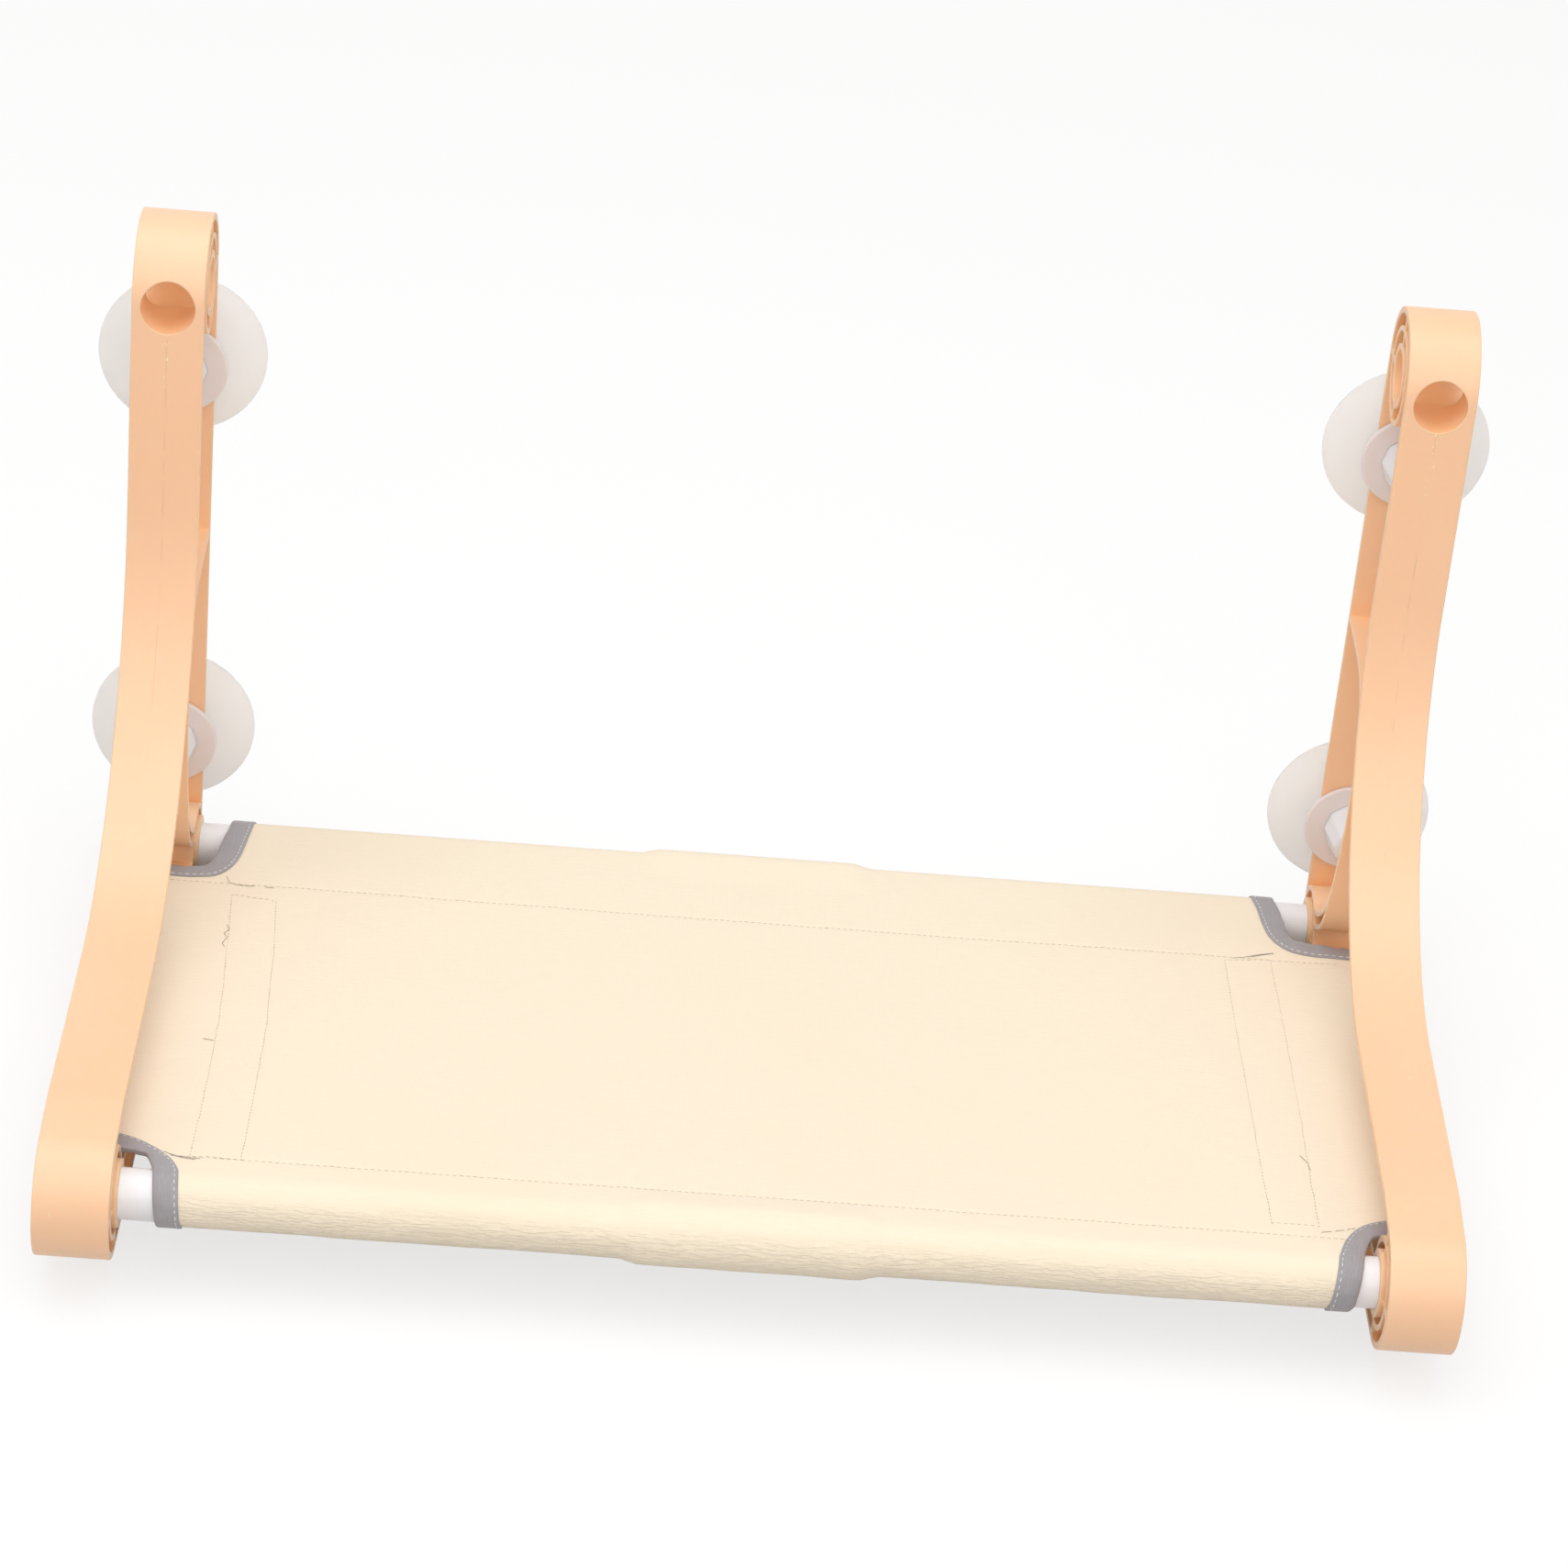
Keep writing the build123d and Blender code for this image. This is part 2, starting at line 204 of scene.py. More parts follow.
def moulded_skin() -> Tree:
    """Makes the group for moulded plastic: a fine grain, a slow tint and small pale scuffs.

    Returns:
        The group.
    """
    kinds = {"Place": "NodeSocketVector", "Grain": "NodeSocketFloat", "Scuffs": "NodeSocketFloat"}
    tree, nodes = shader_group("moulded_skin", kinds, dict.fromkeys(("Height", "Tint", "Scuff"), "NodeSocketFloat"))
    given = nodes.add("NodeGroupInput").outputs
    grain = nodes.noise(given["Place"], given["Grain"], 3.0)
    tint = nodes.noise(given["Place"], 9.0, 3.0)
    streaks = nodes.noise(nodes.stretch(given["Place"], (1.0, 0.5, 0.22)), given["Scuffs"], 4.0)
    spread = nodes.band(nodes.noise(given["Place"], 14.0), 0.5, 0.68)
    scuff = nodes.product(nodes.band(streaks, 0.66, 0.74), spread)
    nodes.add("NodeGroupOutput", {"Height": grain, "Tint": tint, "Scuff": scuff})
    return tree


def plain_weave() -> Tree:
    """Makes the group for cloth: crossed threads, slubs along the width and a slow tint.

    Returns:
        The group.
    """
    kinds = {"Place": "NodeSocketVector", "Threads": "NodeSocketFloat", "Slubs": "NodeSocketFloat"}
    tree, nodes = shader_group("plain_weave", kinds, dict.fromkeys(("Height", "Slub", "Tint"), "NodeSocketFloat"))
    given = nodes.add("NodeGroupInput").outputs
    split = nodes.add("ShaderNodeSeparateXYZ", {0: given["Place"]}).outputs
    turns = nodes.product(given["Threads"], math.pi)
    waves = [nodes.math("SINE", nodes.product(split[axis], turns)) for axis in (0, 1)]
    threads = [nodes.math("ABSOLUTE", wave) for wave in waves]
    over = nodes.band(nodes.product(*waves), -0.3, 0.3)
    woven = nodes.add("ShaderNodeMix", {0: over, 2: threads[0], 3: threads[1]}, data_type="FLOAT").outputs[0]
    slub = nodes.noise(nodes.stretch(given["Place"], (0.11, 1.0, 1.0)), given["Slubs"], 4.0)
    tint = nodes.noise(given["Place"], 7.0, 3.0)
    nodes.add("NodeGroupOutput", {"Height": woven, "Slub": slub, "Tint": tint})
    return tree


# Finishes


@dataclass(frozen=True)
class Finish:
    """A plain surface, with a name, a colour and a roughness."""

    name: str
    colour: Colour
    roughness: float = 0.5

    def surface(self) -> tuple[Material, Nodes, Node]:
        """Makes the material with its Principled shader.

        Returns:
            The material, a Nodes for its tree and the shader.
        """
        material = bpy.data.materials.new(self.name)
        material.use_nodes = True
        nodes = Nodes(material.node_tree)
        shader = material.node_tree.nodes["Principled BSDF"]
        nodes.feed(shader, {"Base Color": colour4(self.colour), "Roughness": self.roughness})
        return material, nodes, shader


@dataclass(frozen=True)
class PartingLine:
    """The broken witness line of the mould, down the front of each leg."""

    across: float
    top: float
    front: float = -68.3 * MM
    bottom: float = -60.0 * MM
    fade: float = 10.0 * MM
    width: float = 0.22 * MM
    share: float = 0.35
    relief: float = 2.5
    colour: Colour = (0.66, 0.42, 0.25)
    fleck_reach: float = 2.2 * MM
    fleck_run: float = 34.0 * MM
    fleck_share: float = 0.8

    def where(self, nodes: Nodes, place: Value) -> tuple[Socket, Socket, Socket]:
        """Finds places beside the line of either leg.

        Args:
            nodes: The material's nodes.
            place: Object coordinates.

        Returns:
            The distance beside the line, the height, and a mask of the legs' front.
        """
        x, y, z = nodes.add("ShaderNodeSeparateXYZ", {0: place}).outputs
        aside = nodes.math("ABSOLUTE", nodes.math("SUBTRACT", nodes.math("ABSOLUTE", x), self.across))
        return aside, z, nodes.band(y, self.front + self.width, self.front - self.width)

    def line(self, nodes: Nodes, place: Value) -> Socket:
        """Makes the mask of the line.

        Args:
            nodes: The material's nodes.
            place: Object coordinates.

        Returns:
            The mask, from 0 to 1.
        """
        aside, z, on_front = self.where(nodes, place)
        wander = nodes.product(nodes.noise(nodes.stretch(place, (1.0, 1.0, 0.5)), 60.0), self.width)
        breaks = nodes.noise(nodes.stretch(place, (0.01, 0.01, 1.0)), 70.0)
        return nodes.product(
            nodes.band(nodes.math("SUBTRACT", aside, wander), self.width, 0.0), on_front,
            nodes.band(z, self.bottom, self.bottom + self.fade), nodes.band(z, self.top, self.top - MM),
            nodes.band(breaks, 0.46, 0.56),
        )

    def flecks(self, nodes: Nodes, place: Value) -> Socket:
        """Makes the mask of the pale flecks beside the line, below the finger hole.

        Args:
            nodes: The material's nodes.
            place: Object coordinates.

        Returns:
            The mask, from 0 to 1.
        """
        aside, z, on_front = self.where(nodes, place)
        specks = nodes.noise(nodes.stretch(place, (1.0, 1.0, 0.45)), 950.0, 1.0)
        return nodes.product(
            nodes.band(specks, 0.6, 0.66), nodes.band(aside, self.fleck_reach, 0.4 * self.fleck_reach), on_front,
            nodes.band(z, self.top - self.fleck_run, self.top - 0.3 * self.fleck_run),
            nodes.band(z, self.top + 2 * MM, self.top),
        )


@dataclass(frozen=True)
class MouldedPlastic(Finish):
    """Injection moulded plastic with a fine grain and small scuffs, with a painted highlight along its edges and, where
    set, a painted glow in its holes and pockets.
    """

    deep: Colour = (0.9, 0.5, 0.2)
    scuffed: Colour = (0.95, 0.85, 0.75)
    scuff_share: float = 0.15
    scuff_scale: float = 420.0
    scuff_roughness: float = 0.2
    grain: float = 700.0
    grain_depth: float = 0.02 * MM
    shine: float = 0.5
    # Colour of the painted highlight along edges, standing in for light caught by rounded edges; it also colours the
    # real pale flecks by the parting line.
    rim_highlight_and_fleck: Colour = (1.0, 0.80, 0.54)
    rim_highlight_share: float = 0.8
    rim_radius: float = 0.8 * MM
    # Painted glow in holes and pockets, from an occlusion mask: its colour, its share and how far the mask looks.
    painted_hollow_glow: Colour = (1.0, 0.61, 0.33)
    painted_hollow_glow_share: float = 0.0
    painted_hollow_glow_reach: float = 30.0 * MM
    glow: float = 0.0
    glow_reach: Colour = (1.0, 0.36, 0.12)
    glow_depth: float = 3.0 * MM

    def build(self, skin: Tree, seam: PartingLine | None = None) -> Material:
        """Makes the material.

        Args:
            skin: The group of moulded plastic.
            seam: A parting line that shows on the surface.

        Returns:
            The finished material.
        """
        material, nodes, shader = self.surface()
        place = nodes.add("ShaderNodeTexCoord").outputs["Object"]
        inputs = {"Place": place, "Grain": self.grain, "Scuffs": self.scuff_scale}
        moulded = nodes.add("ShaderNodeGroup", inputs, node_tree=skin).outputs
        shade = nodes.mix(nodes.band(moulded["Tint"], 0.3, 0.7), self.deep, self.colour)
        shade = nodes.mix(nodes.product(moulded["Scuff"], self.scuff_share), shade, self.scuffed)
        # Painted glow: holes and pockets take a brighter, more saturated orange, standing in for light bounced and
        # shining through inside them.
        if self.painted_hollow_glow_share > 0.0:
            shade = nodes.mix(nodes.product(self.painted_hollow_glow_mask(nodes), self.painted_hollow_glow_share), shade, self.painted_hollow_glow)
        # Painted highlight: edges take a paler colour, standing in for light caught where they round over.
        rounded, edge = self.soft_edges(nodes)
        shade = nodes.mix(nodes.product(edge, self.rim_highlight_share), shade, self.rim_highlight_and_fleck)
        height = moulded["Height"]
        if seam is not None:
            line, flecks = seam.line(nodes, place), seam.flecks(nodes, place)
            shade = nodes.mix(nodes.product(line, seam.share), shade, seam.colour)
            shade = nodes.mix(nodes.product(flecks, seam.fleck_share), shade, self.rim_highlight_and_fleck)
            for raised in (line, flecks):
                height = nodes.math("ADD", height, nodes.product(raised, seam.relief))
        rough = nodes.math("ADD", nodes.product(moulded["Scuff"], self.scuff_roughness), self.roughness)
        nodes.feed(shader, {
            "Base Color": shade, "Roughness": rough, "Normal": nodes.bump(height, self.grain_depth, rounded),
            "Specular IOR Level": self.shine, "Subsurface Weight": self.glow,
            "Subsurface Radius": self.glow_reach, "Subsurface Scale": self.glow_depth,
        })
        return material

    def painted_hollow_glow_mask(self, nodes: Nodes) -> Socket:
        """Finds the holes and pockets, where a painted glow lifts the colour, standing in for light that shines through
        and bounces inside the thin plastic.

        Args:
            nodes: The material's nodes.

        Returns:
            A mask of them.
        """
        reach = {"Distance": self.painted_hollow_glow_reach}
        air = nodes.add("ShaderNodeAmbientOcclusion", reach, samples=6, only_local=True)
        return nodes.band(air.outputs["AO"], 0.85, 0.4)

    def soft_edges(self, nodes: Nodes) -> tuple[Socket, Socket]:
        """Rounds the look of the edges, and finds them for a painted highlight.

        Args:
            nodes: The material's nodes.

        Returns:
            The rounded normal, and a mask of the edges, where the painted highlight goes.
        """
        rounded = nodes.add("ShaderNodeBevel", {"Radius": self.rim_radius}, samples=4).outputs[0]
        plain = nodes.add("ShaderNodeNewGeometry").outputs["Normal"]
        turn = nodes.add("ShaderNodeVectorMath", {0: rounded, 1: plain}, operation="DOT_PRODUCT").outputs["Value"]
        return rounded, nodes.band(turn, 0.99, 0.75)


@dataclass(frozen=True)
class ClearVinyl(Finish):
    """Soft milky vinyl of the suction cups."""

    transmission: float = 0.55
    ior: float = 1.33
    shine: float = 0.4
    grain: float = 260.0
    grain_depth: float = 0.04 * MM
    cloudiness: float = 0.15

    def build(self, skin: Tree) -> Material:
        """Makes the material.

        Args:
            skin: The group of moulded plastic.

        Returns:
            The finished material.
        """
        material, nodes, shader = self.surface()
        place = nodes.add("ShaderNodeTexCoord").outputs["Object"]
        moulded = nodes.add("ShaderNodeGroup", {"Place": place, "Grain": self.grain}, node_tree=skin).outputs
        nodes.feed(shader, {
            "Roughness": nodes.math("ADD", nodes.product(moulded["Tint"], self.cloudiness), self.roughness),
            "Normal": nodes.bump(moulded["Height"], self.grain_depth), "Transmission Weight": self.transmission,
            "IOR": self.ior, "Specular IOR Level": self.shine,
        })
        return material


@dataclass(frozen=True)
class WovenCloth(Finish):
    """Woven cloth, read from the piece's own UV map in metres."""

    shadow: Colour = (0.8, 0.7, 0.5)
    threads: float = 1400.0
    slubs: float = 900.0
    depth: float = 0.12 * MM
    weave_share: float = 0.4
    slub_share: float = 0.4
    creased_to: float = 0.0
    crease: float = 2.2
    crease_scale: Colour = (150.0, 950.0, 1.0)
    sheen: float = 0.25

    def build(self, weave: Tree) -> Material:
        """Makes the material.

        Args:
            weave: The group of woven cloth.

        Returns:
            The finished material.
        """
        material, nodes, shader = self.surface()
        flat = nodes.add("ShaderNodeUVMap", uv_map="flat").outputs[0]
        inputs = {"Place": flat, "Threads": self.threads, "Slubs": self.slubs}
        woven = nodes.add("ShaderNodeGroup", inputs, node_tree=weave).outputs
        slub = nodes.band(woven["Slub"], 0.35, 0.65)
        shade = nodes.mix(nodes.product(slub, self.slub_share), self.colour, self.shadow)
        shade = nodes.mix(nodes.band(woven["Tint"], 0.45, 0.9), shade, self.shadow)
        height = nodes.math("ADD", nodes.product(woven["Height"], self.weave_share), woven["Slub"])
        if self.creased_to > 0.0:
            along = nodes.add("ShaderNodeSeparateXYZ", {0: flat}).outputs["Y"]
            crease = nodes.band(nodes.noise(nodes.stretch(flat, self.crease_scale), 1.0, 4.0), 0.42, 0.62)
            worn = nodes.band(along, self.creased_to - 6 * MM, self.creased_to - 18 * MM)
            height = nodes.math("ADD", height, nodes.product(worn, crease, self.crease))
        nodes.feed(shader, {
            "Base Color": shade, "Normal": nodes.bump(height, self.depth), "Sheen Weight": self.sheen,
            "Sheen Roughness": 0.5,
        })
        return material


@dataclass(frozen=True)
class Thread(Finish):
    """Twisted sewing thread."""

    twists: float = 3000.0
    dark_share: float = 0.7
    depth: float = 0.05 * MM

    def build(self) -> Material:
        """Makes the material, with the thread's twist in its colour and its bump.

        Returns:
            The finished material.
        """
        material, nodes, shader = self.surface()
        twist = nodes.noise(nodes.add("ShaderNodeTexCoord").outputs["Object"], self.twists, 1.0)
        dark = tuple(self.dark_share * part for part in self.colour)
        nodes.feed(shader, {"Base Color": nodes.mix(twist, self.colour, dark), "Normal": nodes.bump(twist, self.depth)})
        return material


# The sling


@dataclass(frozen=True)
class CornerCut:
    """One corner cut out of the cloth, in millimetres.

    half is how far the sleeve reaches at its fold, under the tube. way runs along the panel from
    over the tube to the cloth's side: x and distance from the tube's axis on the cut, and then the
    same two on the other edge of the tape.
    """

    half: float
    way: tuple[Quad, ...]


@dataclass(frozen=True)
class EdgePoint:
    """A point on a cut edge of the flat cloth, the way to the cloth from it, and how loose the edge is there."""

    x: float
    s: float
    to_x: float
    to_s: float
    width: float
    loose: float

    def inward(self, side: Side, depth: float) -> Pair:
        """Returns x and s at a depth into the cloth from the edge, on one side of the perch."""
        return side.value * (self.x + self.to_x * depth), self.s + self.to_s * depth


CORNER_CUTS = {
    (Side.LEFT, Row.FRONT): CornerCut(224.0, (
        (226.6, 0.0, 217.8, 0.0), (227.6, 4.0, 219.3, 4.2), (229.2, 9.0, 222.0, 9.2), (230.8, 12.8, 226.0, 14.2),
        (233.6, 14.4, 230.0, 18.0), (238.2, 15.7, 235.4, 21.8), (243.0, 16.9, 241.5, 24.6), (249.0, 17.7, 249.0, 26.1),
        (257.0, 18.3, 257.0, 26.6),
    )),
    (Side.RIGHT, Row.FRONT): CornerCut(229.4, (
        (233.0, 0.0, 224.5, 0.0), (234.0, 4.6, 225.9, 5.2), (235.5, 9.8, 228.0, 11.2), (237.3, 14.0, 231.3, 17.2),
        (239.7, 15.8, 235.5, 22.0), (243.5, 16.6, 241.5, 26.0), (248.5, 17.6, 247.9, 28.4), (257.0, 18.8, 257.0, 29.4),
    )),
    (Side.LEFT, Row.REAR): CornerCut(223.0, (
        (226.2, 0.0, 217.2, 0.0), (227.4, 10.6, 218.2, 11.0), (228.6, 22.0, 219.4, 24.0), (229.4, 31.4, 221.0, 34.4),
        (231.3, 37.2, 224.1, 42.4), (234.4, 40.4, 229.0, 48.4), (238.6, 41.6, 236.1, 50.4), (243.5, 42.8, 243.0, 51.0),
        (257.0, 42.6, 257.0, 50.6),
    )),
    (Side.RIGHT, Row.REAR): CornerCut(222.5, (
        (224.3, 0.0, 215.5, 0.0), (225.8, 8.6, 216.9, 9.0), (226.6, 19.6, 218.0, 21.6), (227.2, 28.7, 219.7, 31.8),
        (229.4, 34.8, 223.0, 39.9), (233.8, 37.9, 228.9, 46.2), (240.4, 39.3, 237.9, 48.8), (247.8, 40.2, 247.3, 49.3),
        (257.0, 41.0, 257.0, 49.6),
    )),
}

# The stitched lines of the strips, in millimetres: distance from the front tube's axis, and x of
# the inner and outer line there. The first and last entries are the lines' ends.
STRIP_LINES = {
    Side.LEFT: ((12.6, 195.3, 214.8), (60.0, 195.2, 214.3), (120.0, 195.5, 214.7), (150.0, 197.1, 215.8),
                (180.0, 198.1, 217.5), (210.0, 200.3, 218.9), (227.0, 201.3, 220.2)),
    Side.RIGHT: ((20.6, 200.1, 218.3), (60.0, 199.7, 218.6), (110.0, 199.6, 219.3), (180.0, 199.1, 219.3),
                 (237.0, 199.1, 218.8)),
}

# Loose ends of the sewing thread, in millimetres: x and distance from the front tube's axis.
THREAD_ENDS = (
    ((-224.3, 14.0), (-219.8, 11.8), (-215.4, 11.0), (-210.0, 10.6)),
    ((-221.4, 12.0), (-217.0, 10.4), (-212.0, 9.6)),
    ((231.6, 20.0), (229.0, 19.0)),
    ((227.2, 18.2), (224.2, 17.2)),
    ((222.0, 16.5), (218.6, 15.7)),
    ((-223.6, 245.0), (-222.3, 240.9), (-218.8, 239.4), (-213.3, 238.8), (-211.6, 239.6)),
    ((-206.8, 238.9), (-203.3, 238.6)),
    ((203.2, 239.6), (208.7, 241.3), (213.2, 243.4), (217.1, 245.0), (220.6, 246.0), (216.1, 244.0), (209.2, 240.8)),
    ((-219.4, 203.0), (-218.2, 199.5), (-220.0, 196.0), (-218.6, 192.4), (-219.9, 187.0), (-218.6, 184.0)),
    ((-218.6, 105.5), (-215.0, 105.0)),
    ((216.2, 74.4), (218.7, 69.8), (219.3, 62.6)),
)


@dataclass
class SlingShape:
    """The cloth's sizes and its way round both tubes.

    The flat cloth has x across the perch and s along the cloth, from the hem of the front
    sleeve, under and over the front tube, along the panel and round the rear tube.
    """

    cloth: float = 1.0 * MM
    slack: float = 0.25 * MM
    hem: float = 5.0 * MM
    half_width: float = 257.0 * MM
    front_seam: float = 12.2 * MM
    rear_seam: float = 54.0 * MM
    sag: float = 1.3 * MM
    ripple: float = 0.35 * MM
    bulge_run: float = 9.0 * MM
    bulge_fade: float = 20.0 * MM
    stitch_dent: float = 0.3 * MM
    dent_width: float = 1.4 * MM
    edge_step: float = 1.0 * MM
    edge_zone: float = 15.0 * MM
    pucker: float = 0.7 * MM
    droop: float = 0.5 * MM
    crumple: float = 0.35 * MM
    crumple_run: float = 8.0 * MM
    sleeve_tape: float = 8.8 * MM
    least_loose: float = 0.12
    fold_turn: float = math.radians(30.0)

    def __post_init__(self) -> None:
        """Works out the path's pieces from the tubes, and the cut edges."""
        low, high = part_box("front_left_tube")
        rear_low, rear_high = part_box("rear_left_tube")
        coupling_low, coupling_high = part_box("front_tube_coupling")
        self.start = Vector((0.0, (low.y + high.y) / 2, (low.z + high.z) / 2))
        rear = Vector((0.0, (rear_low.y + rear_high.y) / 2, (rear_low.z + rear_high.z) / 2))
        self.span = (rear - self.start).length
        self.run = (rear - self.start).normalized()
        self.up = Vector((1.0, 0.0, 0.0)).cross(self.run)
        self.radius = (high.z - low.z) / 2 + self.slack + self.cloth / 2
        self.bulge = (coupling_high.z - coupling_low.z) / 2 + self.slack + self.cloth / 2 - self.radius
        self.bulge_half = coupling_high.x + self.slack
        self.under = self.radius - 1.05 * self.cloth
        front_turn, front_flap = self.tangent(self.front_seam)
        rear_turn, rear_flap = self.tangent(self.rear_seam)
        self.front_turn, self.rear_turn = front_turn, rear_turn
        self.front_arc_start = self.hem + front_flap
        self.panel_start = self.front_arc_start + self.radius * (1.5 * math.pi + front_turn)
        self.panel_end = self.panel_start + self.span
        self.rear_arc_end = self.panel_end + self.radius * (1.5 * math.pi + rear_turn)
        self.rear_hem_start = self.rear_arc_end + rear_flap
        self.length = self.rear_hem_start + self.hem
        self.edges = {(side, row): self.cut_edge(side, row) for side in Side for row in Row}

    def tangent(self, seam: float) -> Pair:
        """Works out where the flap under the panel leaves its tube.

        Args:
            seam: Distance from the tube's axis to the seam.

        Returns:
            The turn on the tube, from the panel's direction, and the flap's length.
        """
        reach = math.hypot(seam, self.under)
        turn = math.atan2(self.under, seam) - math.acos(self.radius / reach)
        return turn, math.sqrt(reach**2 - self.radius**2)

    def sleeve_section(self, back: float, turn: float, seam: float) -> Quad:
        """Finds a place on the front sleeve or, mirrored, on the rear one.

        Args:
            back: Length along the cloth from the hem's end.
            turn: The turn at which the flap leaves the tube.
            seam: Distance from the tube's axis to the seam.

        Returns:
            Distance from the tube towards the other one, height over the tubes' line, and the
            outward direction in the same two terms.
        """
        if back < self.hem:
            return (seam + self.hem - back, self.under, 0.0, -1.0)
        flap = math.sqrt(seam**2 + self.under**2 - self.radius**2)
        if back < self.hem + flap:
            across, above = math.cos(turn), math.sin(turn)
            left = self.hem + flap - back
            return (self.radius * across - above * left, self.radius * above + across * left, across, above)
        turn -= (back - self.hem - flap) / self.radius
        return (self.radius * math.cos(turn), self.radius * math.sin(turn), math.cos(turn), math.sin(turn))

    def section(self, s: float) -> Quad:
        """Finds a place on the cloth's path, seen from the side.

        Args:
            s: Length along the cloth.

        Returns:
            Distance from the front tube towards the rear one, height over the tubes' line,
            and the outward direction in the same two terms.
        """
        if s < self.panel_start:
            return self.sleeve_section(s, self.front_turn, self.front_seam)
        if s <= self.panel_end:
            return (s - self.panel_start, self.radius, 0.0, 1.0)
        u, v, across, above = self.sleeve_section(self.length - s, self.rear_turn, self.rear_seam)
        return (self.span - u, v, -across, above)

    def hold(self, s: float) -> float:
        """Works out how tightly the cloth follows the coupling, from 1 round a tube to 0 at its seam.

        Args:
            s: Length along the cloth.

        Returns:
            The share, from 0 to 1.
        """
        front, rear = min(self.bulge_fade, self.front_seam), min(self.bulge_fade, self.rear_seam)
        if s < self.panel_start:
            return clamp(1.0 - (self.front_arc_start - s) / (self.front_arc_start - self.hem))
        if s < self.panel_end:
            return clamp(max(1.0 - (s - self.panel_start) / front, 1.0 - (self.panel_end - s) / rear))
        return clamp(1.0 - (s - self.rear_arc_end) / rear)

    def swell(self, x: float, s: float) -> float:
        """Returns how far the coupling inside pushes the cloth out."""
        share = clamp((self.bulge_half + self.bulge_run - abs(x)) / self.bulge_run)
        return self.bulge * share * share * (3 - 2 * share) * self.hold(s)

    def dent(self, x: float, s: float) -> float:
        """Works out how far the stitches of the seams and the strips pull the cloth in.

        Args:
            x: Distance across the perch.
            s: Length along the cloth.

        Returns:
            The shift outwards, which is below 0.
        """
        front, rear = self.panel_start + self.front_seam, self.panel_end - self.rear_seam
        away = min(abs(s - front), abs(s - rear))
        if front < s < rear:
            away = min([away] + [abs(abs(x) - line) for line in self.strip_lines(side_of(x), s)])
        gather = 0.75 + 0.7 * uneven(x * 190.0, s * 190.0, 1.3)
        return -self.stitch_dent * gather * math.exp(-((away / self.dent_width) ** 2))

    def strip_lines(self, side: Side, s: float) -> Pair:
        """Finds the stitched lines of a strip.

        Args:
            side: The strip's end of the perch.
            s: Length along the cloth.

        Returns:
            The x of its inner and its outer line there, positive on both sides.
        """
        along = (s - self.panel_start) / MM
        table = STRIP_LINES[side]
        for (first, *lines), (second, *next_lines) in zip(table, table[1:]):
            if along <= second:
                break
        share = clamp((along - first) / (second - first))
        inner, outer = (here + (there - here) * share for here, there in zip(lines, next_lines))
        return inner * MM, outer * MM

    def settle(self, x: float, s: float) -> float:
        """Works out the panel's sag, its faint ripples and dents, and the fine creases round the front tube.

        Args:
            x: Distance across the perch.
            s: Length along the cloth.

        Returns:
            The shift outwards.
        """
        along = (s - self.panel_start) / self.span
        if along <= 0.0:
            crease = uneven(x * 26.0, s * 240.0, 5.5) + 0.6 * uneven(x * 70.0, s * 400.0, 1.5)
            return self.crumple * clamp((self.panel_start - s) / self.crumple_run) * crease
        if along >= 1.0:
            return 0.0
        middle = math.sin(math.pi * along)
        waves = uneven(x * 9.0, s * 22.0, 3.7) + 0.5 * uneven(x * 30.0, s * 40.0, 8.1)
        across = 1.0 - 0.4 * (x / self.half_width) ** 2
        return self.dent(x, s) - self.sag * middle * across + self.ripple * waves * min(1.0, 3.0 * middle)

    def ruffle(self, x: float, s: float) -> float:
        """Works out how far the cloth is puckered near the cut edge of a corner.

        Args:
            x: Distance across the perch.
            s: Length along the cloth.

        Returns:
            The shift outwards.
        """
        side = side_of(x)
        row = Row.FRONT if s < (self.panel_start + self.panel_end) / 2 else Row.REAR
        edge = self.edges[side, row]
        nearest, index = self.edge_zone, -1
        for place, point in enumerate(edge):
            if abs(point.s - s) < nearest:
                away = math.hypot(abs(x) - point.x, s - point.s)
                if away < nearest:
                    nearest, index = away, place
        if index < 0:
            return 0.0
        near = (1.0 - nearest / self.edge_zone) ** 2
        wave = uneven(index * 0.15, side.value * 4.3, 6.0 if row is Row.REAR else 2.0)
        return edge[index].loose * near * (1.6 * self.pucker * wave - self.droop)

    def place(self, x: float, s: float, lift: float = 0.0) -> Vector:
        """Finds a point of the sewn cloth.

        Args:
            x: Distance across the perch.
            s: Length along the flat cloth.
            lift: Height over the middle of the cloth, outwards.

        Returns:
            The point in the perch's frame.
        """
        u, v, across, above = self.section(s)
        out = lift + self.swell(x, s) + self.settle(x, s) + self.ruffle(x, s)
        point = self.start + self.run * (u + across * out) + self.up * (v + above * out)
        point.x = x
        return point

